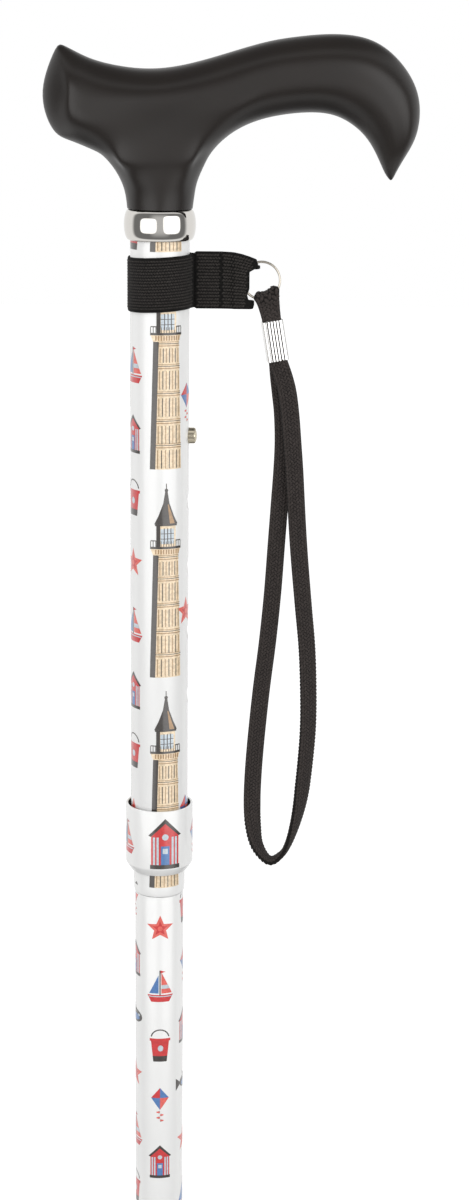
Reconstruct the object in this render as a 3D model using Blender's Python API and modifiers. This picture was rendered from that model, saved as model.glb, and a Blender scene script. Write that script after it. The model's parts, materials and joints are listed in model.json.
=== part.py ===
"""A folding, height-adjusting walking stick with a derby handle and a wrist loop.

The stick stands along Z. The origin is on its axis, on top of the handle where the palm
presses down, and +X points to the handle's beak. Everything hangs below the origin.
"""

import math

import bmesh
import bpy
from mathutils import Matrix, Vector

MM = 0.001
CLEARANCE = 0.3 * MM
ROUND_STEPS = 36
SMALL_STEPS = 24

# Handle: sections across the arm from the butt to the beak, as (top x, top z), (bottom x,
# bottom z) and half the width across the palm. The neck grows from the fourth and fifth.
ARM = [
    ((-36.8, 8.3), (-39.2, -21.1), 11.2),
    ((-30.5, 5.7), (-33.0, -25.4), 12.8),
    ((-21.8, 2.3), (-25.0, -29.1), 13.6),
    ((-7.3, 0.0), (-6.5, -27.0), 14.2),
    ((7.3, 1.1), (7.5, -25.5), 14.2),
    ((22.6, 5.1), (26.4, -24.2), 13.8),
    ((38.1, 9.6), (37.3, -18.1), 13.4),
    ((50.8, 11.8), (51.2, -15.6), 13.1),
    ((63.5, 12.5), (62.2, -16.6), 12.7),
    ((77.0, 9.7), (69.6, -19.9), 12.0),
    ((88.1, 2.1), (74.8, -23.8), 10.9),
    ((94.4, -9.6), (78.6, -28.3), 9.3),
    ((94.6, -22.2), (81.6, -33.4), 7.0),
    ((90.7, -31.2), (83.5, -36.9), 4.2),
    ((88.1, -36.7), (84.9, -39.0), 1.9),
]
BUTT_MIDDLE = (-43.0, -8.2)
BUTT_WRAP = 5.5
BEAK_TIP = (86.5, -39.4)
NECK_STATIONS = (2, 5)
# Neck rings below the arm, as z, half width along X, middle along X, half width along Y, and
# how far the two soft front ridges stand from the middle in degrees.
NECK = [
    (-31.5, 19.4, -1.5, 13.1, 30.0),
    (-37.2, 15.6, -0.5, 12.6, 26.0),
    (-43.9, 13.1, 0.0, 12.2, 19.0),
    (-50.4, 12.1, 0.0, 12.0, 10.0),
]
NECK_BOTTOM = NECK[-1][0] * MM
RIDGE_CREASE = 0.35
FIT_ROUNDS = 10

# Handle fixing
STUD_RADIUS = 4.0 * MM
STUD_TOP = -15.0 * MM
STUD_IN_PLUG = 19.0 * MM
PLUG_LENGTH = 25.0 * MM
PIN_RADIUS = 1.5 * MM
PIN_DROP = 22.0 * MM
COLLAR_WALL = 2.25 * MM
COLLAR_HEIGHT = 11.2 * MM
COLLAR_FLANGE = 1.5 * MM

# Upper tube, its adjusting holes and the button
TUBE_RADIUS = 11.1 * MM
TUBE_WALL = 0.8 * MM
TUBE_LENGTH = 244.1 * MM
HOLE_COUNT = 5
HOLE_PITCH = 25.4 * MM
BUTTON_DROP = 82.9 * MM
BUTTON_RADIUS = 3.05 * MM
BUTTON_STANDS_OUT = 3.0 * MM
CLIP_THICKNESS = 0.7 * MM
CLIP_WIDTH = 7.0 * MM
CLIP_LEG = 24.6 * MM
CLIP_ABOVE_BUTTON = 4.6 * MM

# Inner tube and its bush
INNER_WALL = 1.5 * MM
INNER_SHOWN = 20.8 * MM
INNER_ABOVE_BUTTON = 20.0 * MM
LIP_ROUND = 3.0 * MM
LIP_INSET = 0.4 * MM
BUSH_FLANGE = 1.5 * MM
BUSH_SPIGOT = 8.0 * MM
BUSH_WALL = 2.2 * MM

# Locking ring and its nylon olive
RING_WALL = 2.0 * MM
RING_SKIRT_WALL = 0.95 * MM
RING_ABOVE_TUBE_END = 15.5 * MM
RING_STRAIGHT = 23.8 * MM
RING_CHAMFER = 3.3 * MM
RING_SKIRT = 5.0 * MM
RING_LIP = 0.5 * MM
OLIVE_HEIGHT = 7.6 * MM
OLIVE_TAPER = 0.3 * MM

# Lower sections and the necks that join them
SECTION_RADIUS = 9.5 * MM
SECTION_WALL = 1.0 * MM
SECTION_COUNT = 3
SECTION_LENGTH = 169.93 * MM
SLEEVE_UP = 34.0 * MM
SLEEVE_DOWN = 22.0 * MM
SLEEVE_WALL = 1.2 * MM
EDGE = 0.4 * MM

# Shock cord
SHOCK_RADIUS = 2.0 * MM
ANCHOR_HEIGHT = 10.0 * MM
ANCHOR_BELOW_BUTTON = 41.0 * MM
ANCHOR_ABOVE_FERRULE = 1.0 * MM
STOP_HEIGHT = 5.0 * MM
STOP_WALL = 1.3 * MM

# Ferrule
FERRULE_HEIGHT = 46.0 * MM
FERRULE_FLOOR = 6.3 * MM
FERRULE_FOOT_RADIUS = 17.5 * MM
FERRULE_WALL = 2.7 * MM
# The ferrule's outside from its top down to the flare, as the share of its height and how far
# it stands beyond the socket's wall.
FERRULE_OUTSIDE = [
    (1.0, -0.8 * MM), (0.983, 0.0), (0.87, 0.0), (0.848, 0.7 * MM), (0.478, 1.2 * MM),
    (0.446, 0.4 * MM), (0.38, 0.7 * MM),
]
FERRULE_FLARE = 0.163
FERRULE_SHOULDER = 0.13
FERRULE_EDGE = 1.2 * MM
WASHER_THICKNESS = 1.2 * MM
WASHER_HOLE = 3.0 * MM
SOLE_GROOVES = 2
SOLE_GROOVE = 1.0 * MM

# Elastic strap
ELASTIC_THICKNESS = 0.9 * MM
ELASTIC_WIDTH = 21.1 * MM
BAND_WIDTH = 20.1 * MM
BAND_THICKNESS = 0.65 * MM
BAND_DROP = 15.0 * MM
BAND_LIP = 1.2 * MM
TAB_RISE = 1.3 * MM
TAB_LENGTH = 23.7 * MM
TAB_LOWER_HORN = 2.1 * MM
TAB_SEAM = 9.3 * MM
TAB_POCKET = 14.3 * MM
TAB_DROOP = 3.6 * MM
TAB_EASE = 1.5 * MM
NOTCH_DEPTH = 3.9 * MM
NOTCH_TOP = 6.3 * MM
NOTCH_BOTTOM = 4.0 * MM

# Split ring
WIRE_RADIUS = 0.4 * MM
WIRE_PITCH = 1.1 * MM
SPLIT_RADIUS = 6.9 * MM
SPLIT_FROM_TUBE = 26.7 * MM
WIRE_POINTS = 20

# Wrist cord: a flat braid in two strands, which hangs on the ring
BRAID_WIDTH = 7.5 * MM
BRAID_THICKNESS = 2.4 * MM
EYE_ANGLE = math.radians(22.0)
LOOP_LEAN = math.radians(9.5)
EYE_TO_CRIMP = 8.5 * MM
EYE_SLACK = 0.25 * MM
CRIMP_WIDTH = 8.3 * MM
CRIMP_DEPTH = 6.8 * MM
CRIMP_WALL = 0.55 * MM
CRIMP_CORNER = 1.5 * MM
CRIMP_FLUTE = 0.3 * MM
CRIMP_LENGTH = 15.4 * MM
CRIMP_FLUTES = 5
CORD_IN_CRIMP = 2.0 * MM
STRAND_SPACING = 3.0 * MM
CORD_SPACING = 6.0 * MM
CORD_PINCH = 0.86
PINCH_FADE = 50.0 * MM
TWIST_BEFORE = 28.0 * MM
TWIST_AFTER = 150.0 * MM
# The loop's route below the crimp, from the back strand's start to the front strand's end,
# as (x, z) in millimetres from the stick's origin.
LOOP_ROUTE = [
    (44.9, -113.0), (45.6, -119.0), (46.4, -126.0), (46.8, -134.0), (46.8, -141.0),
    (46.4, -150.0), (45.8, -159.0), (45.2, -168.7), (44.6, -178.0), (43.4, -197.0),
    (41.7, -216.0), (39.5, -235.3), (37.7, -254.8), (36.7, -269.5), (36.4, -281.0),
    (36.9, -291.0), (38.7, -299.3), (43.4, -305.2), (48.0, -302.8), (50.9, -298.0),
    (53.5, -289.4), (55.4, -279.4), (56.9, -264.6), (57.8, -250.0), (57.7, -235.0),
    (56.9, -218.0), (55.3, -201.7), (53.5, -182.8), (52.4, -168.7), (51.2, -150.0),
    (50.2, -138.0), (49.2, -127.0), (48.0, -118.5), (46.4, -112.5),
]

# Places that follow from the sizes
COLLAR_TOP = NECK_BOTTOM - CLEARANCE
COLLAR_BOTTOM = COLLAR_TOP - COLLAR_HEIGHT
TUBE_TOP = COLLAR_TOP - COLLAR_FLANGE - CLEARANCE
TUBE_BOTTOM = TUBE_TOP - TUBE_LENGTH
TUBE_BORE = TUBE_RADIUS - TUBE_WALL
COLLAR_RADIUS = TUBE_RADIUS + COLLAR_WALL
RING_RADIUS = TUBE_RADIUS + RING_WALL
BUTTON_Z = TUBE_TOP - BUTTON_DROP
INNER_RADIUS = TUBE_BORE - CLEARANCE
INNER_BORE = INNER_RADIUS - INNER_WALL
INNER_TOP = BUTTON_Z + INNER_ABOVE_BUTTON
LIP_Z = TUBE_BOTTOM - INNER_SHOWN
FOOT_Z = LIP_Z - SECTION_COUNT * SECTION_LENGTH
SECTION_BORE = SECTION_RADIUS - SECTION_WALL
SLEEVE_RADIUS = min(SECTION_BORE, INNER_BORE) - CLEARANCE
RING_TOP = TUBE_BOTTOM + RING_ABOVE_TUBE_END
PIN_Z = TUBE_TOP - PIN_DROP
BAND_RADIUS = TUBE_RADIUS + CLEARANCE + BAND_THICKNESS / 2
BAND_TOP = TUBE_TOP - BAND_DROP
BAND_BOTTOM = BAND_TOP - BAND_WIDTH
TAB_START = TUBE_RADIUS + CLEARANCE + BAND_THICKNESS + BAND_LIP + CLEARANCE
TAB_TOP = BAND_TOP + TAB_RISE
TAB_BOTTOM = TAB_TOP - ELASTIC_WIDTH
SPLIT_CENTRE = Vector((TUBE_RADIUS + SPLIT_FROM_TUBE, 0.0, TAB_TOP - ELASTIC_WIDTH / 2))
EYE_THICKNESS = BRAID_THICKNESS * CORD_PINCH
HANG = Vector((math.sin(LOOP_LEAN), 0.0, -math.cos(LOOP_LEAN)))
EYE_POINT = SPLIT_CENTRE + SPLIT_RADIUS * Vector((math.sin(EYE_ANGLE), 0.0, -math.cos(EYE_ANGLE)))


def collection(name):
    made = bpy.data.collections.new(name)
    bpy.context.scene.collection.children.link(made)
    return made


def finish(name, colour, roughness, metallic=0.0):
    """A Principled material with one plain colour."""
    material = bpy.data.materials.new(name)
    material.use_nodes = True
    shader = material.node_tree.nodes["Principled BSDF"]
    shader.inputs["Base Color"].default_value = (*colour, 1.0)
    shader.inputs["Roughness"].default_value = roughness
    shader.inputs["Metallic"].default_value = metallic
    return material


def add(name, data, material, home):
    """Links a new object with its material into a collection."""
    made = bpy.data.objects.new(name, data)
    data.materials.append(material)
    home.objects.link(made)
    return made


def new_mesh(name, bm, smooth=True):
    mesh = bpy.data.meshes.new(name)
    bm.normal_update()
    bm.to_mesh(mesh)
    bm.free()
    if smooth:
        mesh.shade_smooth()
        mesh.set_sharp_from_angle(angle=math.radians(35))
    return mesh


def turned(name, profile, material, steps=ROUND_STEPS, closed=True):
    """A turned piece: the profile's (radius, z) points go down the outside and up the inside."""
    bm = bmesh.new()
    points = [bm.verts.new((radius, 0.0, z)) for radius, z in profile]
    for a, b in zip(points, points[1:]):
        bm.edges.new((a, b))
    if closed:
        bm.edges.new((points[-1], points[0]))
    made = add(name, new_mesh(name, bm, smooth=False), material, PARTS)
    screw = made.modifiers.new("Turn", "SCREW")
    screw.axis = "Z"
    screw.angle = 2 * math.pi
    screw.steps = steps
    screw.render_steps = steps
    screw.use_merge_vertices = True
    screw.merge_threshold = 0.00001
    screw.use_smooth_shade = True
    return made


def pipe(name, radius, bore, top, bottom, material, steps=ROUND_STEPS):
    """A tube with slightly broken outer edges."""
    profile = [
        (radius - EDGE / 2, top), (radius, top - EDGE), (radius, bottom + EDGE),
        (radius - EDGE / 2, bottom), (bore, bottom), (bore, top),
    ]
    return turned(name, profile, material, steps)


def cutter(name, radius, start, end, steps=SMALL_STEPS):
    """A round cutter between two points."""
    way = Vector(end) - Vector(start)
    bm = bmesh.new()
    bmesh.ops.create_cone(
        bm, cap_ends=True, segments=steps, radius1=radius, radius2=radius, depth=way.length
    )
    mesh = bpy.data.meshes.new(name)
    bm.to_mesh(mesh)
    bm.free()
    made = bpy.data.objects.new(name, mesh)
    made.location = (Vector(start) + Vector(end)) / 2
    made.rotation_euler = way.to_track_quat("Z", "X").to_euler()
    made.hide_render = True
    made.display_type = "WIRE"
    CUTTERS.objects.link(made)
    return made


def cut(piece, tool):
    change = piece.modifiers.new(tool.name, "BOOLEAN")
    change.operation = "DIFFERENCE"
    change.object = tool
    change.solver = "EXACT"


def sheet(name, rows, thickness, material, left_out=()):
    """A grid of points, row by row, made a wall of one thickness. left_out lists cells
    (row, column) that are open."""
    bm = bmesh.new()
    grid = [[bm.verts.new(p) for p in row] for row in rows]
    for r in range(len(rows) - 1):
        for c in range(len(rows[0]) - 1):
            if (r, c) not in left_out:
                bm.faces.new((grid[r][c], grid[r][c + 1], grid[r + 1][c + 1], grid[r + 1][c]))
    loose = [v for v in bm.verts if not v.link_faces]
    bmesh.ops.delete(bm, geom=loose, context="VERTS")
    made = add(name, new_mesh(name, bm), material, PARTS)
    wall = made.modifiers.new("Wall", "SOLIDIFY")
    wall.thickness = thickness
    wall.offset = 0.0
    wall.use_even_offset = True
    return made


def smooth_route(points, spacing):
    """Points at an even spacing on a smooth curve through the given ones."""
    ends = [2 * points[0] - points[1], *points, 2 * points[-1] - points[-2]]
    dense = []
    fine = 24
    for k in range(1, len(ends) - 2):
        a, b, c, d = ends[k - 1 : k + 3]
        for n in range(fine):
            t = n / fine
            dense.append(
                0.5 * (2 * b + (c - a) * t + (2 * a - 5 * b + 4 * c - d) * t**2
                       + (3 * b - a - 3 * c + d) * t**3)
            )
    dense.append(points[-1])
    run = [0.0]
    for a, b in zip(dense, dense[1:]):
        run.append(run[-1] + (b - a).length)
    count = max(2, round(run[-1] / spacing))
    route, k = [], 0
    for n in range(count + 1):
        want = run[-1] * n / count
        while k < len(run) - 2 and run[k + 1] < want:
            k += 1
        share = (want - run[k]) / (run[k + 1] - run[k])
        route.append(dense[k].lerp(dense[k + 1], share))
    return route, run[-1]


def wire(name, points, radius, material, resolution=2):
    """A tube with filled ends through the points."""
    curve = bpy.data.curves.new(name, "CURVE")
    curve.dimensions = "3D"
    curve.bevel_depth = radius
    curve.bevel_resolution = resolution
    curve.use_fill_caps = True
    spline = curve.splines.new("POLY")
    spline.points.add(len(points) - 1)
    for place, point in zip(spline.points, points):
        place.co = (*point, 1.0)
    return add(name, curve, material, PARTS)


def arm_ring(top, bottom, half_width, wrap=0.0):
    """Eight points round the handle's arm: top, three down the front, bottom, three up the back.
    wrap carries the flanks along +X, as round the butt's end."""
    shares = [(0.0, 0.0), (0.2, 0.84), (0.5, 1.0), (0.8, 0.84), (1.0, 0.0)]
    ring = []
    for share, wide in shares + shares[3:0:-1]:
        side = -1 if len(ring) < 5 else 1
        x = top[0] + (bottom[0] - top[0]) * share + wrap * wide
        z = top[1] + (bottom[1] - top[1]) * share
        ring.append(Vector((x, side * wide * half_width, z)) * MM)
    return ring


def neck_ring(z, half_x, middle_x, half_y, ridge):
    """Ten points round the neck, from the butt side over the back to the beak side."""
    ring = []
    for degrees in (180, 142, 90 + ridge, 90 - ridge, 38, 0, -38, ridge - 90, -90 - ridge, -142):
        turn = math.radians(degrees)
        place = (middle_x + half_x * math.cos(turn), half_y * math.sin(turn), z)
        ring.append(Vector(place) * MM)
    return ring


def limit_point(vertex, rim):
    """Where Catmull-Clark subdivision takes a cage's vertex. rim holds the sharp edges."""
    sharp = [e.other_vert(vertex).co for e in vertex.link_edges if e in rim]
    if sharp:
        return (sharp[0] + 4 * vertex.co + sharp[1]) / 6
    n = len(vertex.link_edges)
    total = n * n * vertex.co
    for edge in vertex.link_edges:
        total += 4 * edge.other_vert(vertex).co
    for face in vertex.link_faces:
        near = {e.other_vert(vertex) for e in vertex.link_edges} | {vertex}
        total += next(v.co for v in face.verts if v not in near)
    return total / (n * (n + 5))


def handle_cage():
    """The handle's coarse cage, fitted so that its smooth surface passes through the points."""
    bm = bmesh.new()
    crease = bm.edges.layers.float.new("crease_edge")
    rings = []
    neck_from, neck_to = NECK_STATIONS
    for number, (top, bottom, half_width) in enumerate(ARM):
        wrap = BUTT_WRAP if number == 0 else 0.0
        points = arm_ring(top, bottom, half_width, wrap)
        ring = [bm.verts.new(p) for p in points]
        if neck_from < number < neck_to:
            bm.verts.remove(ring[4])
            ring[4] = None
        rings.append(ring)
    for number, (a, b) in enumerate(zip(rings, rings[1:])):
        for k in range(8):
            corners = (a[k], a[(k + 1) % 8], b[(k + 1) % 8], b[k])
            open_below = neck_from <= number < neck_to and k in (3, 4)
            if not open_below:
                bm.faces.new(corners)
    for ring, middle in ((rings[0], BUTT_MIDDLE), (rings[-1], BEAK_TIP)):
        centre = bm.verts.new(Vector((middle[0], 0.0, middle[1])) * MM)
        for k in range(0, 8, 2):
            bm.faces.new((centre, ring[k], ring[k + 1], ring[(k + 2) % 8]))
    first, last = rings[neck_from], rings[neck_to]
    back = [r[5] for r in rings[neck_from + 1 : neck_to]]
    front = [r[3] for r in rings[neck_from + 1 : neck_to]]
    above = [first[4], first[5], *back, last[5], last[4], last[3], *front[::-1], first[3]]
    ridges = []
    for level in NECK:
        below = [bm.verts.new(p) for p in neck_ring(*level)]
        for k in range(10):
            bm.faces.new((above[k], above[(k + 1) % 10], below[(k + 1) % 10], below[k]))
        ridges += [bm.edges.get((above[k], below[k])) for k in (2, 3, 7, 8)]
        above = below
    bm.faces.new(above)
    rim = {bm.edges.get((above[k], above[(k + 1) % 10])) for k in range(10)}
    bmesh.ops.recalc_face_normals(bm, faces=bm.faces)
    for edge in ridges:
        edge[crease] = RIDGE_CREASE
    for edge in rim:
        edge[crease] = 1.0
    goal = {v: v.co.copy() for v in bm.verts}
    for _ in range(FIT_ROUNDS):
        miss = {v: goal[v] - limit_point(v, rim) for v in bm.verts}
        for v, step in miss.items():
            v.co += step
    return bm


def make_handle():
    bm = handle_cage()
    piece = add("derby_handle", new_mesh("derby_handle", bm), SATIN_BLACK, PARTS)
    smooth = piece.modifiers.new("Smooth form", "SUBSURF")
    smooth.levels = 2
    smooth.render_levels = 2
    bore = cutter(
        "stud_bore", STUD_RADIUS + CLEARANCE,
        (0, 0, STUD_TOP + CLEARANCE), (0, 0, NECK_BOTTOM - 5 * MM),
    )
    cut(piece, bore)


def make_handle_fixing():
    stud_bottom = TUBE_TOP - STUD_IN_PLUG
    turned("handle_stud", [
        (0, STUD_TOP), (STUD_RADIUS - EDGE, STUD_TOP), (STUD_RADIUS, STUD_TOP - EDGE),
        (STUD_RADIUS, stud_bottom + EDGE), (STUD_RADIUS - EDGE, stud_bottom), (0, stud_bottom),
    ], STEEL, SMALL_STEPS, closed=False)
    plug_top = TUBE_TOP - CLEARANCE
    plug = pipe(
        "tube_top_plug", TUBE_BORE - CLEARANCE, STUD_RADIUS + CLEARANCE,
        plug_top, plug_top - PLUG_LENGTH, NYLON, SMALL_STEPS,
    )
    bore = cutter(
        "plug_pin_bore", PIN_RADIUS + CLEARANCE,
        (0, -2 * TUBE_RADIUS, PIN_Z), (0, 2 * TUBE_RADIUS, PIN_Z),
    )
    cut(plug, bore)
    half = math.sqrt(TUBE_RADIUS**2 - PIN_RADIUS**2) - CLEARANCE / 2
    pin = turned("tube_plug_pin", [
        (0, half), (PIN_RADIUS, half), (PIN_RADIUS, -half), (0, -half),
    ], STEEL, 16, closed=False)
    pin.rotation_euler = (math.pi / 2, 0, 0)
    pin.location = (0, 0, PIN_Z)
    return bore


def make_collar():
    """A barrel-shaped ring with a flange on top that the neck sits on."""
    bore = TUBE_RADIUS + CLEARANCE
    middle = (COLLAR_TOP + COLLAR_BOTTOM) / 2
    rounds = 9
    barrel = []
    for k in range(rounds):
        turn = math.radians(72 - 144 * k / (rounds - 1))
        barrel.append((
            bore + 0.5 * MM + (COLLAR_RADIUS - bore - 0.5 * MM) * math.cos(turn),
            middle + (COLLAR_HEIGHT / 2) * math.sin(turn) / math.sin(math.radians(72)),
        ))
    inside = [
        (bore, COLLAR_BOTTOM), (bore, COLLAR_TOP - COLLAR_FLANGE),
        (STUD_RADIUS + CLEARANCE, COLLAR_TOP - COLLAR_FLANGE),
        (STUD_RADIUS + CLEARANCE, COLLAR_TOP),
    ]
    turned("handle_collar", barrel + inside, CHROME)


def make_outer_tube(pin_bore):
    tube = pipe("outer_tube", TUBE_RADIUS, TUBE_BORE, TUBE_TOP, TUBE_BOTTOM, WHITE_PRINT)
    cut(tube, pin_bore)
    for k in range(HOLE_COUNT):
        z = BUTTON_Z - k * HOLE_PITCH
        cut(tube, cutter(
            f"adjusting_hole_{k + 1}", BUTTON_RADIUS + CLEARANCE,
            (INNER_RADIUS / 2, 0, z), (2 * TUBE_RADIUS, 0, z),
        ))


def make_locking_ring():
    """The screw ring: a thin skirt round the tube, the threaded bore and a lip below the olive."""
    straight_bottom = RING_TOP - RING_STRAIGHT
    bottom = straight_bottom - RING_CHAMFER
    bore = TUBE_RADIUS + CLEARANCE
    lip_bore = INNER_RADIUS + 1.5 * CLEARANCE
    skirt_bore = RING_RADIUS - RING_SKIRT_WALL
    turned("locking_ring", [
        (RING_RADIUS - EDGE / 2, RING_TOP), (RING_RADIUS, RING_TOP - EDGE),
        (RING_RADIUS, straight_bottom), (lip_bore + RING_LIP, bottom), (lip_bore, bottom),
        (lip_bore, straight_bottom), (bore, straight_bottom),
        (bore, RING_TOP - RING_SKIRT - EDGE), (skirt_bore, RING_TOP - RING_SKIRT),
        (skirt_bore, RING_TOP),
    ], WHITE_PRINT)
    olive_top = TUBE_BOTTOM - CLEARANCE
    outside = bore - CLEARANCE
    turned("locking_olive", [
        (outside, olive_top), (outside - OLIVE_TAPER, olive_top - OLIVE_HEIGHT),
        (INNER_RADIUS + CLEARANCE, olive_top - OLIVE_HEIGHT), (INNER_RADIUS + CLEARANCE, olive_top),
    ], NYLON)


def make_inner_tube():
    lip = [
        (INNER_RADIUS - LIP_INSET * (1 - math.cos(turn)), LIP_Z + LIP_ROUND * (1 - math.sin(turn)))
        for turn in (math.radians(30 * k) for k in range(4))
    ]
    tube = turned("inner_tube", [
        (INNER_RADIUS - EDGE / 2, INNER_TOP), (INNER_RADIUS, INNER_TOP - EDGE), *lip,
        (INNER_BORE, LIP_Z), (INNER_BORE, INNER_TOP),
    ], WHITE_PRINT)
    cut(tube, cutter(
        "inner_button_hole", BUTTON_RADIUS + CLEARANCE,
        (INNER_BORE / 2, 0, BUTTON_Z), (2 * TUBE_RADIUS, 0, BUTTON_Z),
    ))
    seat = INNER_TOP + CLEARANCE
    spigot = INNER_BORE - CLEARANCE
    turned("guide_bush", [
        (INNER_RADIUS, seat + BUSH_FLANGE), (INNER_RADIUS, seat), (spigot, seat),
        (spigot, seat - BUSH_SPIGOT), (spigot - BUSH_WALL, seat - BUSH_SPIGOT),
        (spigot - BUSH_WALL, seat + BUSH_FLANGE),
    ], NYLON, SMALL_STEPS)


def make_snap_clip():
    """One bent spring strip with its button, made one body."""
    reach = math.sqrt(INNER_BORE**2 - (CLIP_WIDTH / 2) ** 2) - CLEARANCE - CLIP_THICKNESS / 2
    bend_z = BUTTON_Z - CLIP_LEG
    path = [(reach, BUTTON_Z + CLIP_ABOVE_BUTTON)]
    for k in range(9):
        turn = math.pi * k / 8
        path.append((reach * math.cos(turn), bend_z - reach * math.sin(turn)))
    path.append((-reach, BUTTON_Z + CLIP_ABOVE_BUTTON))
    rows = [[Vector((x, y, z)) for x, z in path] for y in (CLIP_WIDTH / 2, -CLIP_WIDTH / 2)]
    clip = sheet("snap_button_clip", rows, CLIP_THICKNESS, STEEL)
    tip = TUBE_RADIUS + BUTTON_STANDS_OUT
    dome = 1.1 * MM
    button = [(0.0, tip)]
    for k in range(1, 5):
        turn = math.radians(22.5 * k)
        button.append((BUTTON_RADIUS * math.sin(turn), tip - dome * (1 - math.cos(turn))))
    button += [(BUTTON_RADIUS, reach), (0.0, reach)]
    tool = turned("clip_button", button, STEEL, SMALL_STEPS, closed=False)
    tool.rotation_euler = (0, math.pi / 2, 0)
    tool.location = (0, 0, BUTTON_Z)
    PARTS.objects.unlink(tool)
    CUTTERS.objects.link(tool)
    tool.hide_render = True
    tool.display_type = "WIRE"
    join = clip.modifiers.new("Button", "BOOLEAN")
    join.operation = "UNION"
    join.object = tool
    join.solver = "EXACT"


def make_lower_sections():
    """Each lower section is a tube with a sleeve in its top that plugs into the one above."""
    for number in range(SECTION_COUNT):
        joint = LIP_Z - number * SECTION_LENGTH
        bottom = joint - SECTION_LENGTH
        if number == SECTION_COUNT - 1:
            bottom = FOOT_Z + FERRULE_FLOOR + 2 * CLEARANCE + WASHER_THICKNESS
        pipe(
            f"joint_sleeve_{number + 1}", SLEEVE_RADIUS, SLEEVE_RADIUS - SLEEVE_WALL,
            joint + SLEEVE_UP, joint - SLEEVE_DOWN, ALUMINIUM, SMALL_STEPS,
        )
        pipe(
            f"section_tube_{number + 1}", SECTION_RADIUS, SECTION_BORE,
            joint - CLEARANCE, bottom, WHITE_PRINT,
        )


def make_shock_cord():
    hole = SHOCK_RADIUS + CLEARANCE
    upper = BUTTON_Z - ANCHOR_BELOW_BUTTON
    lower = FOOT_Z + FERRULE_HEIGHT + ANCHOR_ABOVE_FERRULE
    pipe("cord_anchor_top", INNER_BORE - CLEARANCE, hole, upper, upper - ANCHOR_HEIGHT, NYLON, SMALL_STEPS)
    pipe(
        "cord_anchor_bottom", SECTION_BORE - CLEARANCE, hole, lower, lower - ANCHOR_HEIGHT,
        NYLON, SMALL_STEPS,
    )
    stop = hole + STOP_WALL
    stop_top = upper + CLEARANCE + STOP_HEIGHT
    stop_bottom = lower - ANCHOR_HEIGHT - CLEARANCE - STOP_HEIGHT
    pipe("cord_stop_top", stop, hole, stop_top, stop_top - STOP_HEIGHT, ALUMINIUM, SMALL_STEPS)
    pipe(
        "cord_stop_bottom", stop, hole, stop_bottom + STOP_HEIGHT, stop_bottom, ALUMINIUM,
        SMALL_STEPS,
    )
    points = [Vector((0, 0, z)) for z in (stop_top, (stop_top + stop_bottom) / 2, stop_bottom)]
    wire("shock_cord", points, SHOCK_RADIUS, BLACK_CORD)


def make_ferrule():
    socket = SECTION_RADIUS + CLEARANCE
    floor = FOOT_Z + FERRULE_FLOOR
    upper = socket + FERRULE_WALL
    foot = FERRULE_FOOT_RADIUS
    sole = foot - FERRULE_EDGE
    profile = [(0, floor), (socket, floor), (socket, FOOT_Z + FERRULE_HEIGHT)]
    for share, beyond in FERRULE_OUTSIDE:
        profile.append((upper + beyond, FOOT_Z + share * FERRULE_HEIGHT))
    profile += [
        (foot - FERRULE_EDGE / 2, FOOT_Z + FERRULE_FLARE * FERRULE_HEIGHT),
        (foot, FOOT_Z + FERRULE_SHOULDER * FERRULE_HEIGHT),
        (foot, FOOT_Z + FERRULE_EDGE), (sole, FOOT_Z),
    ]
    ridge = sole / (2 * SOLE_GROOVES + 2)
    for k in range(SOLE_GROOVES):
        outer = sole - (2 * k + 1) * ridge
        profile += [
            (outer, FOOT_Z), (outer, FOOT_Z + SOLE_GROOVE),
            (outer - ridge, FOOT_Z + SOLE_GROOVE), (outer - ridge, FOOT_Z),
        ]
    turned("rubber_ferrule", [*profile, (0, FOOT_Z)], RUBBER, closed=False)
    washer = floor + CLEARANCE
    pipe(
        "ferrule_washer", SECTION_RADIUS - CLEARANCE, WASHER_HOLE,
        washer + WASHER_THICKNESS, washer, STEEL, SMALL_STEPS,
    )


def make_strap_band():
    """The elastic loop round the tube, with both ends turned out towards +X."""
    beside = (BAND_THICKNESS + CLEARANCE) / 2
    start = math.asin(beside / BAND_RADIUS)
    reach = BAND_RADIUS + BAND_THICKNESS / 2 + BAND_LIP
    steps = 40
    path = [(reach, beside)]
    for k in range(steps + 1):
        turn = start + (2 * math.pi - 2 * start) * k / steps
        path.append((BAND_RADIUS * math.cos(turn), BAND_RADIUS * math.sin(turn)))
    path.append((reach, -beside))
    rows = [[Vector((x, y, z)) for x, y in path] for z in (BAND_TOP, BAND_BOTTOM)]
    sheet("strap_band", rows, BAND_THICKNESS, BLACK_ELASTIC)


def tab_columns(last, tip, beside, bulge):
    """The tab's front layer seen from above, as (x, y) from the band's side to the fold."""
    seam = TAB_START + TAB_SEAM
    pocket = TAB_START + TAB_POCKET
    columns = [
        (TAB_START, beside), ((TAB_START + seam) / 2, beside), (seam, beside),
        (pocket - TAB_EASE, beside + (bulge - beside) / 3), (pocket, bulge),
        ((pocket + last) / 2, bulge), (last, bulge),
    ]
    centre = tip - ELASTIC_THICKNESS / 2 - bulge
    for degrees in (0, 30, 60, 90):
        turn = math.radians(degrees)
        columns.append((centre + bulge * math.sin(turn), bulge * math.cos(turn)))
    return columns


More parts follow.
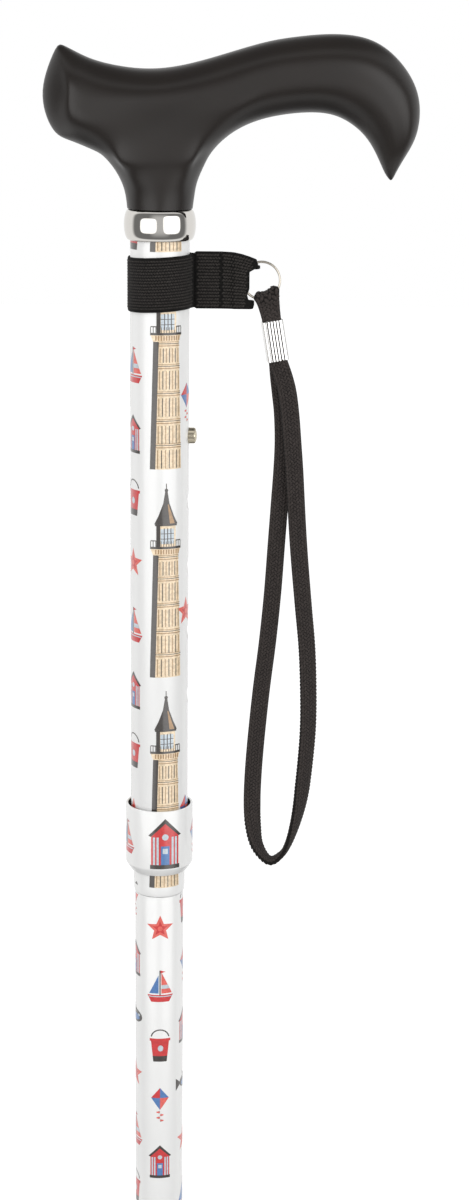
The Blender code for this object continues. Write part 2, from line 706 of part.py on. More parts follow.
def make_strap_tab():
    """The doubled tab: two layers from the band to a fold that holds the ring. A notch in the
    fold leaves an upper and a lower horn, and the ring comes out of the pocket above the upper
    horn and through the notch."""
    beside = (ELASTIC_THICKNESS + CLEARANCE) / 2
    bulge = WIRE_PITCH / 2 + WIRE_RADIUS + CLEARANCE + ELASTIC_THICKNESS / 2
    end = TAB_START + TAB_LENGTH
    notch_x = end - NOTCH_DEPTH
    notch_top = TAB_TOP - NOTCH_TOP
    notch_bottom = TAB_BOTTOM + NOTCH_BOTTOM
    fold_x = end - ELASTIC_THICKNESS / 2 - bulge
    ring_rise = math.sqrt(SPLIT_RADIUS**2 - (SPLIT_CENTRE.x - fold_x) ** 2)
    horn_top = SPLIT_CENTRE.z + ring_rise - WIRE_RADIUS - 1.3 * CLEARANCE
    horn_low = TAB_BOTTOM + NOTCH_BOTTOM / 2
    rows = []
    for level in range(8):
        low = level < 3
        tip = end - TAB_LOWER_HORN if low else end
        last = notch_x - TAB_LOWER_HORN / 2.5 if low else notch_x
        row = []
        for number, (x, y) in enumerate(tab_columns(last, tip, beside, bulge)):
            on_fold = number > 6
            droop = max(0.0, (x - TAB_START - TAB_SEAM) / (TAB_LENGTH - TAB_SEAM))
            edge = TAB_TOP - TAB_DROOP * droop**2
            if low:
                upper = horn_low if on_fold else notch_bottom
                z = TAB_BOTTOM + (upper - TAB_BOTTOM) * level / 2
            elif level < 5:
                z = notch_bottom + (notch_top - notch_bottom) * (level - 2) / 3
            elif level == 6:
                z = horn_top if on_fold else (notch_top + edge) / 2
            else:
                z = notch_top if level == 5 else edge
            row.append(Vector((x, y, z)))
        rows.append(row + [Vector((p.x, -p.y, p.z)) for p in row[-2::-1]])
    columns = len(rows[0]) - 1
    left_out = {(r, c) for r in (2, 3, 4) for c in range(6, columns - 6)}
    left_out |= {(6, c) for c in range(7, columns - 7)}
    sheet("strap_tab", rows, ELASTIC_THICKNESS, BLACK_ELASTIC, left_out)


def make_split_ring():
    """A ring of two turns of wire side by side, with a short step from one to the other."""
    points = []
    turns = 2 * WIRE_POINTS
    for k in range(turns + 1):
        turn = 2 * math.pi * k / WIRE_POINTS + math.radians(150)
        step = min(max((k - WIRE_POINTS + 2) / 4, 0.0), 1.0)
        y = WIRE_PITCH * (step * step * (3 - 2 * step) - 0.5)
        points.append(Vector((SPLIT_RADIUS * math.cos(turn), y, SPLIT_RADIUS * math.sin(turn))))
    points = points[:-1]
    ring = wire("split_ring", points, WIRE_RADIUS, STEEL, resolution=1)
    ring.parent = ring_centre


def in_loop(point):
    """A point of the wrist loop, taken from the stick's frame to the loop's own."""
    return Vector(point) - EYE_POINT


def make_cord_eye():
    """The flat braid's turn over the ring. It lies on the ring's inner curve, and its two legs
    come together above the crimp."""
    half_gap = WIRE_PITCH / 2 + WIRE_RADIUS + CLEARANCE + EYE_SLACK + EYE_THICKNESS / 2
    arch = half_gap - 2 * EYE_SLACK
    seat = SPLIT_RADIUS - WIRE_RADIUS - CLEARANCE - EYE_THICKNESS / 2
    spread = BRAID_WIDTH / 2 / seat
    across = Vector((math.cos(LOOP_LEAN), 0.0, math.sin(LOOP_LEAN)))
    rows = []
    for k in range(7):
        side = k / 3 - 1
        turn = EYE_ANGLE + side * spread
        out = Vector((math.sin(turn), 0.0, -math.cos(turn)))
        half = []
        for degrees in (90, 60, 30, 0):
            bend = math.radians(degrees)
            reach = seat + arch * (1 - math.sin(bend))
            point = SPLIT_CENTRE - EYE_POINT + out * reach
            half.append(Vector((point.x, half_gap * math.cos(bend), point.z)))
        pinched = side * CORD_PINCH * BRAID_WIDTH / 2
        for drop, y in (
            (EYE_TO_CRIMP / 2, (half_gap + STRAND_SPACING / 2) / 2),
            (EYE_TO_CRIMP - 1 * MM, STRAND_SPACING / 2),
            (EYE_TO_CRIMP + CORD_IN_CRIMP, STRAND_SPACING / 2),
        ):
            share = min(1.0, drop / EYE_TO_CRIMP)
            point = half[3].lerp(across * pinched + HANG * drop, share)
            half.append(Vector((point.x, y, point.z)))
        rows.append([Vector((p.x, -p.y, p.z)) for p in half[:0:-1]] + half)
    eye = sheet("cord_eye", rows, EYE_THICKNESS, BLACK_CORD)
    eye.parent = eye_centre


def crimp_outline(half_width, half_depth, corner, flutes):
    """A rectangle with round corners, with shallow flutes in both broad sides."""
    flat = half_width - corner
    outline = []
    for number, (side_x, side_y) in enumerate(((1, 1), (-1, 1), (-1, -1), (1, -1))):
        for k in range(5):
            turn = math.radians(90 * number + 22.5 * k)
            outline.append((
                side_x * flat + corner * math.cos(turn),
                side_y * (half_depth - corner) + corner * math.sin(turn),
            ))
        if side_x != side_y:
            continue
        for n in range(flutes):
            x = side_x * flat * (1 - (2 * n + 1) / flutes)
            reach = side_x * 0.6 * flat / flutes
            outline += [
                (x + reach, side_y * half_depth),
                (x, side_y * (half_depth - CRIMP_FLUTE)),
                (x - reach, side_y * half_depth),
            ]
    return outline


def make_crimp():
    """A fluted flat tube squeezed on both strands."""
    curve = bpy.data.curves.new("cord_crimp", "CURVE")
    curve.dimensions = "2D"
    curve.fill_mode = "BOTH"
    curve.extrude = CRIMP_LENGTH / 2
    half_width, half_depth = CRIMP_WIDTH / 2, CRIMP_DEPTH / 2
    outlines = [
        crimp_outline(half_width, half_depth, CRIMP_CORNER, CRIMP_FLUTES),
        crimp_outline(
            half_width - CRIMP_WALL, half_depth - CRIMP_WALL, CRIMP_CORNER - CRIMP_WALL, 0
        ),
    ]
    for outline in outlines:
        spline = curve.splines.new("POLY")
        spline.points.add(len(outline) - 1)
        spline.use_cyclic_u = True
        for place, (x, y) in zip(spline.points, outline):
            place.co = (x, y, 0.0, 1.0)
    crimp = add("cord_crimp", curve, STEEL, PARTS)
    crimp.rotation_euler = (0, -LOOP_LEAN, 0)
    crimp.location = HANG * (EYE_TO_CRIMP + CRIMP_LENGTH / 2)
    crimp.parent = eye_centre


def loop_route():
    """The loop's centre line from inside the crimp, down the back strand and up the front one."""
    foot = EYE_POINT + HANG * (EYE_TO_CRIMP + CRIMP_LENGTH)
    start = foot - HANG * CORD_IN_CRIMP
    plane = [start, foot, *(Vector((x, 0.0, z)) * MM for x, z in LOOP_ROUTE), foot, start]
    run = [0.0]
    for a, b in zip(plane, plane[1:]):
        run.append(run[-1] + (b - a).length)
    half = STRAND_SPACING / 2
    points = []
    for place, along in zip(plane, run):
        share = along / run[-1]
        side = min(1.0, abs(share - 0.5) / 0.28)
        y = math.copysign(half * side, 0.5 - share)
        points.append(Vector((place.x, y, place.z)))
    return smooth_route(points, CORD_SPACING)


def make_wrist_cord():
    """A flat braid swept along the loop. Its flat side faces the front, and turns on edge round
    the loop's bottom."""
    route, length = loop_route()
    profile = bpy.data.curves.new("braid_section", "CURVE")
    profile.dimensions = "2D"
    flat = profile.splines.new("POLY")
    half_width, half_depth = BRAID_WIDTH / 2, BRAID_THICKNESS / 2
    corner = 0.7 * half_depth
    outline = [
        (half_width, corner - half_depth), (half_width - corner, -half_depth),
        (corner - half_width, -half_depth), (-half_width, corner - half_depth),
        (-half_width, half_depth - corner), (corner - half_width, half_depth),
        (half_width - corner, half_depth), (half_width, half_depth - corner),
    ]
    flat.points.add(len(outline) - 1)
    flat.use_cyclic_u = True
    for place, (x, y) in zip(flat.points, outline):
        place.co = (x, y, 0.0, 1.0)
    guide = bpy.data.objects.new("braid_section", profile)
    guide.hide_render = True
    guide.display_type = "WIRE"
    CUTTERS.objects.link(guide)
    curve = bpy.data.curves.new("wrist_cord", "CURVE")
    curve.dimensions = "3D"
    curve.twist_mode = "Z_UP"
    curve.bevel_mode = "OBJECT"
    curve.bevel_object = guide
    curve.use_fill_caps = True
    spline = curve.splines.new("POLY")
    spline.points.add(len(route) - 1)
    run = [length * k / (len(route) - 1) for k in range(len(route))]
    lowest = min(range(len(route)), key=lambda k: route[k].z)
    for place, point, along in zip(spline.points, route, run):
        local = in_loop(point)
        place.co = (local.x, local.z, -local.y, 1.0)
        past = along - run[lowest]
        share = min(1.0, abs(past) / (TWIST_BEFORE if past < 0 else TWIST_AFTER))
        turn = share * share * (3 - 2 * share)
        place.tilt = math.pi / 2 * (1 + math.copysign(turn, past))
        from_end = max(0.0, min(along, length - along) - CORD_IN_CRIMP)
        place.radius = CORD_PINCH + (1 - CORD_PINCH) * min(1.0, from_end / PINCH_FADE)
    cord = add("wrist_cord", curve, BLACK_CORD, PARTS)
    cord.rotation_euler = (math.pi / 2, 0, 0)
    cord.parent = eye_centre


for old in list(bpy.data.objects):
    bpy.data.objects.remove(old, do_unlink=True)

PARTS = collection("folding_walking_stick")
CUTTERS = collection("cutters")
SATIN_BLACK = finish("satin_black", (0.028, 0.024, 0.022), 0.45)
CHROME = finish("chrome", (0.78, 0.78, 0.77), 0.08, 1.0)
STEEL = finish("steel", (0.62, 0.61, 0.58), 0.25, 1.0)
ALUMINIUM = finish("aluminium", (0.7, 0.7, 0.71), 0.35, 1.0)
WHITE_PRINT = finish("white_print", (0.82, 0.82, 0.81), 0.22)
NYLON = finish("nylon", (0.75, 0.74, 0.7), 0.5)
RUBBER = finish("rubber", (0.03, 0.03, 0.03), 0.8)
BLACK_ELASTIC = finish("black_elastic", (0.015, 0.015, 0.015), 0.85)
BLACK_CORD = finish("black_cord", (0.02, 0.02, 0.02), 0.8)

ring_centre = bpy.data.objects.new("ring_centre", None)
ring_centre.location = SPLIT_CENTRE
eye_centre = bpy.data.objects.new("eye_centre", None)
eye_centre.parent = ring_centre
eye_centre.location = EYE_POINT - SPLIT_CENTRE
for empty in (ring_centre, eye_centre):
    PARTS.objects.link(empty)

make_handle()
PLUG_PIN_BORE = make_handle_fixing()
make_collar()
make_outer_tube(PLUG_PIN_BORE)
make_locking_ring()
make_inner_tube()
make_snap_clip()
make_lower_sections()
make_shock_cord()
make_ferrule()
make_strap_band()
make_strap_tab()
make_split_ring()
make_cord_eye()
make_crimp()
make_wrist_cord()
bpy.context.view_layer.update()
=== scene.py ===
"""Looks of a folding, height-adjusting walking stick with a derby handle and a wrist loop.

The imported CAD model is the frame: the stick stands along Z, its origin is on top of the handle,
and +X points to the handle's beak. Each operator makes one piece or a group of like pieces in
that frame and says which CAD nodes it stands for.
"""

import json
import math

import bmesh
import bpy
import numpy as np
from mathutils import Matrix, Vector

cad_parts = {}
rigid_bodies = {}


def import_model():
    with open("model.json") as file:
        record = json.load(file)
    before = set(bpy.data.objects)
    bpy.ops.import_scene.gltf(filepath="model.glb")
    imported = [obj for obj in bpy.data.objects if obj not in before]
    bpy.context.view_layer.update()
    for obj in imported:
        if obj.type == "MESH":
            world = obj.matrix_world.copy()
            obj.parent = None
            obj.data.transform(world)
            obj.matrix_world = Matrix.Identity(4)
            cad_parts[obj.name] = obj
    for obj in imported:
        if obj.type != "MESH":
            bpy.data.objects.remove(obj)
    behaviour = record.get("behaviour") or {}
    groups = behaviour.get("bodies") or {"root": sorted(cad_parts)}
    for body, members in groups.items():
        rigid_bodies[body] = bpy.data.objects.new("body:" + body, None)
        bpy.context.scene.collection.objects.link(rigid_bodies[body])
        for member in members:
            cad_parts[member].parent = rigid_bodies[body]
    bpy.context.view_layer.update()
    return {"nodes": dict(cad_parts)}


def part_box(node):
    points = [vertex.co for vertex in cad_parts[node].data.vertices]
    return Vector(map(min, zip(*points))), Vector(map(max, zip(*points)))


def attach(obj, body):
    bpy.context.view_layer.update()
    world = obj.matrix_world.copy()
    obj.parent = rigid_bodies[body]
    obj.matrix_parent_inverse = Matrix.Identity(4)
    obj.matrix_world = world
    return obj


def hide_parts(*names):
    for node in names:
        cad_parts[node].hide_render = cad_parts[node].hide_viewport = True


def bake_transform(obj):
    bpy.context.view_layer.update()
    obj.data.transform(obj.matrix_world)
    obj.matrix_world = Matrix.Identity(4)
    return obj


bl_info = {
    "name": "Walking stick looks",
    "version": (1, 0, 0),
    "blender": (4, 5, 0),
    "location": "View3D > Sidebar > Stick",
    "description": "Dresses the frame of a folding walking stick in its finishes",
    "category": "Object",
}

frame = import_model()

MM = 0.001
CLEARANCE = 0.3 * MM

# Handle: sections across the arm from the butt to the beak, as (top x, top z), (bottom x,
# bottom z) and half the width across the palm, all in millimetres.
ARM = [
    ((-37.3, 5.6), (-39.4, -21.9), 9.4),
    ((-30.5, 5.6), (-33.0, -26.1), 12.8),
    ((-21.8, 2.3), (-24.8, -29.4), 13.6),
    ((-7.3, 0.0), (-6.5, -27.0), 14.2),
    ((7.3, 1.1), (7.5, -25.5), 14.2),
    ((22.6, 5.1), (26.0, -23.2), 13.8),
    ((38.1, 9.6), (37.3, -17.9), 13.4),
    ((50.8, 11.8), (51.2, -15.5), 13.1),
    ((63.5, 12.7), (62.2, -15.9), 12.7),
    ((77.2, 10.5), (69.6, -19.0), 12.0),
    ((88.1, 2.3), (74.8, -23.3), 10.9),
    ((94.4, -9.4), (78.4, -28.3), 9.3),
    ((94.2, -22.2), (81.0, -33.4), 7.0),
    ((90.1, -31.0), (82.7, -36.9), 4.2),
    ((87.0, -36.5), (84.0, -38.7), 1.9),
]
BUTT_MIDDLE = (-43.0, -8.2)
BUTT_WRAP = 2.7
BEAK_TIP = (85.3, -39.5)
NECK_STATIONS = (2, 5)
CAGE_ROUNDS = 10
# The flanks' share of the half width: the upper ones', and the lower ones' mostly, beside the
# neck and over it
HIGH_FLANK = 0.84
LOW_FLANK, BESIDE_NECK, OVER_NECK = 0.84, 0.89, 0.96
# Neck rings as (left x, left z), (right x, right z), half width across the palm, and the angle
# that half of the flat front takes, in degrees.
NECK = [
    ((-20.9, -31.7), (19.5, -29.4), 13.3, 30.0),
    ((-17.0, -36.0), (16.3, -34.6), 12.8, 27.0),
    ((-14.3, -40.7), (13.9, -40.3), 12.3, 23.0),
    ((-12.8, -45.3), (12.8, -45.3), 11.9, 19.0),
    ((-12.1, -50.4), (12.1, -50.4), 11.7, 16.0),
]
# Where the neck's corners lie, in degrees from its sides
NECK_CORNER = 38
NECK_BOTTOM = NECK[-1][0][1] * MM
STUD_RADIUS = 4.0 * MM
STUD_TOP = -15.0 * MM

# Turned pieces: places come from the frame's own nodes
COLLAR_LOW, COLLAR_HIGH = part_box("handle_collar")
COLLAR_EDGE = 0.2 * MM
COLLAR_FLANGE = 1.5 * MM
TUBE_LOW, TUBE_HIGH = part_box("outer_tube")
RING_LOW, RING_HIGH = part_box("locking_ring")
INNER_LOW, INNER_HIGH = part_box("inner_tube")
TUBE_RADIUS = 11.1 * MM
TUBE_BORE = 10.3 * MM
BUTTON_Z = TUBE_HIGH.z - 82.9 * MM
HOLE_PITCH = 25.4 * MM
HOLE_COUNT = 5
HOLE_RADIUS = 3.35 * MM
INNER_RADIUS = 10.0 * MM
INNER_BORE = 8.5 * MM
# How far the inner tube's ends draw in, and over what height: the rounded one and the upper one
INNER_LIP = (0.4 * MM, 3.0 * MM)
INNER_CHAMFER = (0.2 * MM, 0.4 * MM)
RING_RADIUS = 13.1 * MM
RING_SKIRT = 5.0 * MM
RING_SKIRT_BORE = 12.15 * MM
RING_CHAMFER = 3.3 * MM
RING_ROUNDING = 0.3 * MM
# How wide the ring's foot is round the inner tube, and how far the skirt's step slopes
RING_FOOT = 0.5 * MM
RING_STEP = 0.4 * MM
SECTION_RADIUS = 9.5 * MM
SECTION_BORE = 8.5 * MM
# The top and the bottom of each lower section
SECTIONS = {n: [p.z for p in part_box(f"section_tube_{n}")[::-1]] for n in (1, 2, 3)}
FOOT_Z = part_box("rubber_ferrule")[0].z
FERRULE_WALL = 2.7 * MM
FERRULE_FLOOR = 6.3 * MM

# Elastic strap: a band that rises a little towards +X, and a doubled tab with a notch
BAND_RADIUS = 11.725 * MM
BAND_THICKNESS = 0.65 * MM
BAND_TOP = TUBE_HIGH.z - 15.0 * MM
BAND_BOTTOM = BAND_TOP - 20.1 * MM
BAND_LIP = 1.2 * MM
ELASTIC_THICKNESS = 0.9 * MM
TAB_START = 13.55 * MM
TAB_CREASE = 12.3 * MM
BAND_TILT = 0.055
TAB_TOP = BAND_TOP + 1.3 * MM
TAB_BOTTOM = TAB_TOP - 21.1 * MM
TAB_LENGTH = 23.7 * MM
TAB_LOWER_HORN = 2.1 * MM
TAB_SEAM = 9.3 * MM
TAB_POCKET = 14.3 * MM
TAB_DROOP = 3.6 * MM
TAB_EASE = 1.5 * MM
TAB_GATHER = 0.9 * MM
TAB_END = TAB_START + TAB_LENGTH
SEAM_X = TAB_START + TAB_SEAM
STITCH_PITCH = 1.7 * MM
NOTCH_DEPTH = 3.9 * MM
NOTCH_TOP = 6.3 * MM
NOTCH_BOTTOM = 4.0 * MM
NOTCH_ROUNDING = 1.0 * MM
NOTCH_X = TAB_END - NOTCH_DEPTH
# The tab's outer corners: how far the lowest and the highest level draw back
HORN_CORNERS = {0: 0.4 * MM, 7: 0.6 * MM}
HORN_HEIGHT = 3.1 * MM

# Threads of the woven pieces, as length, width and height. A braid's thread has its width as a
# share of its length, keeps off the strip's ends and lies in the surface by a share.
BAND_THREAD = (1.25 * MM, 0.85 * MM, 0.42 * MM)
BAND_LEAN = math.radians(24)
BAND_MARGIN = 1.4 * MM
TAB_THREAD = (1.3 * MM, 0.9 * MM, 0.42 * MM)
SEWING_THREAD = (1.6 * MM, 0.5 * MM, 0.5 * MM)
BRAID_THREAD_WIDTH = 0.58
BRAID_THREAD_HEIGHT = 0.62 * MM
BRAID_MARGIN = 0.4 * MM
BRAID_SINK = 0.85

# Split ring, and the wrist loop that hangs on it
WIRE_RADIUS = 0.4 * MM
WIRE_PITCH = 1.1 * MM
WIRE_START = math.radians(150)
SPLIT_RADIUS = 6.9 * MM
SPLIT_CENTRE = Vector((37.8 * MM, 0.0, (TAB_TOP + TAB_BOTTOM) / 2))
TAB_BESIDE = (ELASTIC_THICKNESS + CLEARANCE) / 2
TAB_BULGE = WIRE_PITCH / 2 + WIRE_RADIUS + CLEARANCE + ELASTIC_THICKNESS / 2
EYE_ANGLE = math.radians(22.0)
EYE_POINT = SPLIT_CENTRE + SPLIT_RADIUS * Vector((math.sin(EYE_ANGLE), 0.0, -math.cos(EYE_ANGLE)))
EYE_TO_CRIMP = 8.5 * MM
EYE_SLACK = 0.25 * MM
LOOP_LEAN = math.radians(9.5)
HANG = Vector((math.sin(LOOP_LEAN), 0.0, -math.cos(LOOP_LEAN)))
HANG_ACROSS = Vector((math.cos(LOOP_LEAN), 0.0, math.sin(LOOP_LEAN)))
CRIMP_START = EYE_POINT + HANG * EYE_TO_CRIMP
CRIMP_HALF_WIDTH = 4.1 * MM
CRIMP_HALF_DEPTH = 2.9 * MM
CRIMP_CORNER = 1.3 * MM
CRIMP_WALL = 0.55 * MM
CRIMP_LENGTH = 15.4 * MM
LOOP_START = EYE_POINT + HANG * (EYE_TO_CRIMP + CRIMP_LENGTH)
CORD_IN_CRIMP = 2.0 * MM
# One crease, as (place in its share of the side, share of its depth)
CREASE_SHAPE = ((0.44, 0.0), (0.26, 0.3), (0.0, 1.0), (-0.26, 0.3), (-0.44, 0.0))
CRIMPED_WIDTH = 7.0 * MM
EYE_WIDTH = 8.2 * MM
EYE_THICKNESS = 2.06 * MM
STRAND_SPACING = 3.0 * MM
PINCH_FADE = 50.0 * MM
# Share of the loop's length, on each side of its bottom, over which the strands cross over
CROSSING = 0.28
# How much of a quarter turn the braid makes by a distance past the loop's bottom
TWIST = [(-26 * MM, -1.0), (0.0, 0.0), (34 * MM, 0.62), (140 * MM, 1.0)]
# The loop's route below the crimp, down the back strand and up the front one, as (x, z) in
# millimetres from the stick's origin.
LOOP_ROUTE = [
    (44.9, -113.0), (45.6, -119.0), (46.4, -126.0), (46.8, -134.0), (46.8, -141.0),
    (46.4, -150.0), (45.8, -159.0), (45.2, -168.7), (44.6, -178.0), (43.4, -197.0),
    (41.7, -216.0), (39.5, -235.3), (37.7, -254.8), (36.7, -269.5), (36.4, -281.0),
    (36.9, -291.0), (38.7, -299.3), (43.4, -305.2), (48.0, -302.8), (50.9, -298.0),
    (53.5, -289.4), (55.4, -279.4), (56.9, -264.6), (57.8, -250.0), (57.7, -235.0),
    (56.9, -218.0), (55.3, -201.7), (53.5, -182.8), (52.4, -168.7), (51.2, -150.0),
    (50.2, -138.0), (49.2, -127.0), (48.0, -118.5), (46.4, -112.5),
]

# Print: how far one layer of ink stands before another, and the bare edge at a tube's end
INK_LAYER = 0.015 * MM
PRINT_MARGIN = 0.4 * MM

# The camera stands in front of the handle's neck and looks slightly down
CAMERA_PLACE = Vector((0.0288, -0.895, 0.0238))
CAMERA_PITCH = math.radians(-14.0)
CAMERA_ROLL = math.radians(0.5)
CAMERA_LENS = 72.0

# The studio: two soft lamps that aim at the stick, and what gloss shows, as (left, right, low,
# high) from the direction of the camera
LAMPS = {"lamp_left": Vector((-1.0, -1.2, 0.35)), "lamp_right": Vector((1.1, -1.1, 0.35))}
LAMP_SIZE = 0.9
LIT_PLACE = Vector((0.02, 0.0, -0.3))
TO_CAMERA = (0.03, -0.995, 0.09)
DARK_ROOM = (-0.72, 0.74, -0.4, 0.5)
GLIMMER = (-0.2, 0.26, -0.2, 0.34)
LEFT_PANEL = (-0.51, -0.065, -0.14, 0.2)
RIGHT_PANEL = (0.13, 0.58, -0.15, 0.3)
# Where the pale band and the white sweep fade in, and how bright they are
PALE_BAND = (0.58, 0.7)
WHITE_SWEEP = (-0.6, -0.85)
PALE_LEVEL = 0.95
FLOOR_REACH = 6.0
FLOOR_GLOW = 0.8


def linear(code):
    """A #rrggbb colour, as the eye reads it, in linear light."""
    parts = (int(code[k : k + 2], 16) / 255 for k in (1, 3, 5))
    return tuple(c / 12.92 if c <= 0.04045 else ((c + 0.055) / 1.055) ** 2.4 for c in parts)


def toned(colour, share):
    return tuple(min(1.0, c * share) for c in colour)


def node(tree, kind, inputs=None, out=0, **settings):
    """Adds a node and gives one of its outputs, or all of them if out is None. An input given as
    a socket is linked, and any other is the input's value."""
    made = tree.nodes.new(kind)
    for name, value in settings.items():
        setattr(made, name, value)
    for key, value in (inputs or {}).items():
        if isinstance(value, bpy.types.NodeSocket):
            tree.links.new(value, made.inputs[key])
        else:
            made.inputs[key].default_value = value
    return made.outputs if out is None else made.outputs[out]


def colour_prop(name, code, description):
    return bpy.props.FloatVectorProperty(
        name=name, description=description, subtype="COLOR", min=0.0, max=1.0,
        default=linear(code),
    )


def length_prop(name, millimetres, description):
    return bpy.props.FloatProperty(
        name=name, description=description, unit="LENGTH", min=0.0, precision=5,
        default=millimetres * MM,
    )


def share_prop(name, value, description, most=1.0):
    return bpy.props.FloatProperty(
        name=name, description=description, subtype="FACTOR", min=0.0, max=most, default=value
    )


def count_prop(name, value, description):
    return bpy.props.IntProperty(name=name, description=description, min=1, default=value)


def angle_prop(name, degrees, description):
    return bpy.props.FloatProperty(
        name=name, description=description, subtype="ANGLE", default=math.radians(degrees)
    )


# Materials


def speckle(tree, size, detail=2.0, stretch=(1.0, 1.0, 1.0)):
    """Noise on the object's own coordinates, with marks of about this size in metres."""
    place = node(tree, "ShaderNodeTexCoord", out="Object")
    scaled = node(tree, "ShaderNodeMapping", {"Vector": place, "Scale": stretch})
    noise = {"Vector": scaled, "Scale": 0.5 / size, "Detail": detail}
    return node(tree, "ShaderNodeTexNoise", noise)


def finish(name, colour, grain=(), mottle=(), **sockets):
    """A material of one colour with these socket values. grain is the relief's depth and its
    speckle's size, detail and stretch. mottle is the darker and the lighter tone, as shares of
    the colour, and their speckle's size and detail."""
    made = bpy.data.materials.new(name)
    made.use_nodes = True
    tree = made.node_tree
    shader = tree.nodes["Principled BSDF"].inputs
    shader["Base Color"].default_value = (*colour, 1.0)
    for socket, value in sockets.items():
        shader[socket.replace("_", " ")].default_value = value
    if mottle:
        dark, light, *marks = mottle
        ramp = node(tree, "ShaderNodeValToRGB", {"Fac": speckle(tree, *marks)})
        stops = ramp.node.color_ramp.elements
        for stop, place, share in zip(stops, (0.35, 0.65), (dark, light)):
            stop.position = place
            stop.color = (*toned(colour, share), 1.0)
        tree.links.new(ramp, shader["Base Color"])
    if grain:
        depth, *marks = grain
        height = {"Height": speckle(tree, *marks), "Distance": depth}
        tree.links.new(node(tree, "ShaderNodeBump", height), shader["Normal"])
    return made


def satin_moulding(settings):
    """Moulded plastic with a satin lacquer: broad soft highlights, a faint mottle, fine grain."""
    return finish(
        "satin_black_moulding", settings.colour, (0.004 * MM, 0.5 * MM), (0.92, 1.1, 9 * MM),
        Roughness=settings.roughness, Specular_IOR_Level=0.45,
    )


def plated(name, colour, roughness, depth, *marks):
    """Bright metal with marks of this depth and speckle."""
    return finish(name, colour, (depth, *marks), Metallic=1.0, Roughness=roughness)


def chrome_plating(settings):
    """Bright chrome on turned brass: a mirror that takes its tones from the studio."""
    return plated("chrome_plating", settings.chrome, 0.06, 0.0015 * MM, 2.5 * MM)


def nickel_wire(settings):
    """Nickel-plated spring wire: bright, a little warm, with drawing marks along it."""
    return plated("nickel_wire", settings.nickel, 0.16, 0.002 * MM, 0.3 * MM)


def pressed_tin(settings):
    """Pressed plated tube: bright flats, slightly brushed down its length. The dark creases between
    them are painted shade in another material.
    """
    along = (4.0, 1.0, 0.4)
    return plated("pressed_tin_plate", settings.crimp, 0.14, 0.003 * MM, 0.5 * MM, 2.0, along)


def painted_crease_shade():
    """Painted shade in the bottoms of the crimp's creases: dull and dark brown."""
    return finish(
        "creased_tin_plate", linear("#2d2622"), (0.004 * MM, 0.4 * MM), Metallic=0.3, Roughness=0.6
    )


def spring_steel():
    """Plated spring steel of the button: a small bright dome, slightly yellow."""
    return plated("spring_steel_plate", linear("#cdc3ae"), 0.18, 0.002 * MM, 0.6 * MM)


def bright_steel():
    """Turned bright steel: grey, with faint rings from the lathe."""
    rings = (1.0, 1.0, 6.0)
    return plated("bright_steel", linear("#b9b8b4"), 0.28, 0.003 * MM, 0.4 * MM, 2.0, rings)


def drawn_aluminium():
    """Drawn aluminium: matt silver, with fine lines along the tube."""
    lines = (6.0, 6.0, 0.3)
    return plated("drawn_aluminium", linear("#c8c9cb"), 0.34, 0.004 * MM, 0.35 * MM, 2.0, lines)


def white_lacquer(settings):
    """White stoved lacquer under a clear coat: even, glossy, with a faint orange peel."""
    return finish(
        "white_stoved_lacquer", settings.white, (0.004 * MM, 3 * MM), (0.985, 1.0, 14 * MM),
        Roughness=0.36, Coat_Weight=1.0, Coat_Roughness=0.17,
    )


def painted_bore_shade():
    """Painted shade inside the locking ring's skirt and bore: dull and nearly black."""
    rings = (1.0, 1.0, 5.0)
    return finish(
        "bare_zinc_bore", linear("#2b2a29"), (0.01 * MM, 0.4 * MM, 2.0, rings), Metallic=0.4,
        Roughness=0.6,
    )


def printed_ink(name, colour, spread):
    """Transfer-printed ink under the same clear coat. Its tone breaks up as a printed picture's
    does; the real dots are finer than the render shows, so the marks are 0.5 mm."""
    return finish(
        name, colour, (), (1 - spread, 1 + spread, 0.5 * MM, 3.0), Roughness=0.34,
        Coat_Weight=1.0, Coat_Roughness=0.07,
    )


def woven_black(name, colour, mark):
    """Black polyester thread: matt, with a dull sheen at the edges and uneven fibres."""
    return finish(
        name, colour, (0.05 * MM, mark, 3.0), (0.7, 1.35, mark, 3.0), Roughness=0.8,
        Specular_IOR_Level=0.16, Sheen_Weight=0.05,
    )


def moulded_rubber(settings):
    """Moulded black rubber: matt, grey where it has scuffed, with a coarse grain."""
    return finish(
        "moulded_rubber", settings.rubber, (0.03 * MM, 0.5 * MM), (1.0, 1.7, 6 * MM, 4.0),
        Roughness=0.58,
    )


def natural_nylon():
    """Natural nylon: milky, satin, slightly warm."""
    return finish(
        "natural_nylon", linear("#dcd7cb"), (0.01 * MM, 0.8 * MM), Roughness=0.45,
        Subsurface_Weight=0.15, Subsurface_Scale=1.0 * MM,
    )


# Meshes


def to_mesh(bm, name, angle=35.0):
    mesh = bpy.data.meshes.new(name)
    bm.normal_update()
    bm.to_mesh(mesh)
    bm.free()
    return shaded(mesh, angle)


def shaded(mesh, angle=35.0):
    mesh.shade_smooth()
    mesh.set_sharp_from_angle(angle=math.radians(angle))
    return mesh


def piece(name, mesh, material, body, slot, *nodes):
    """Links a finished mesh that rides on a body and stands for the CAD nodes."""
    mesh.name = name
    if material:
        mesh.materials.clear()
        mesh.materials.append(material)
    made = making(name, mesh)
    if body:
        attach(made, body)
    if nodes:
        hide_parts(*nodes)
    return made


def baked(maker):
    """The plain mesh of an object with its modifiers applied. The object is removed."""
    bpy.context.view_layer.update()
    depsgraph = bpy.context.evaluated_depsgraph_get()
    mesh = bpy.data.meshes.new_from_object(
        maker.evaluated_get(depsgraph), preserve_all_data_layers=True, depsgraph=depsgraph
    )
    maker.modifiers.clear()
    bpy.data.objects.remove(maker, do_unlink=True)
    return mesh


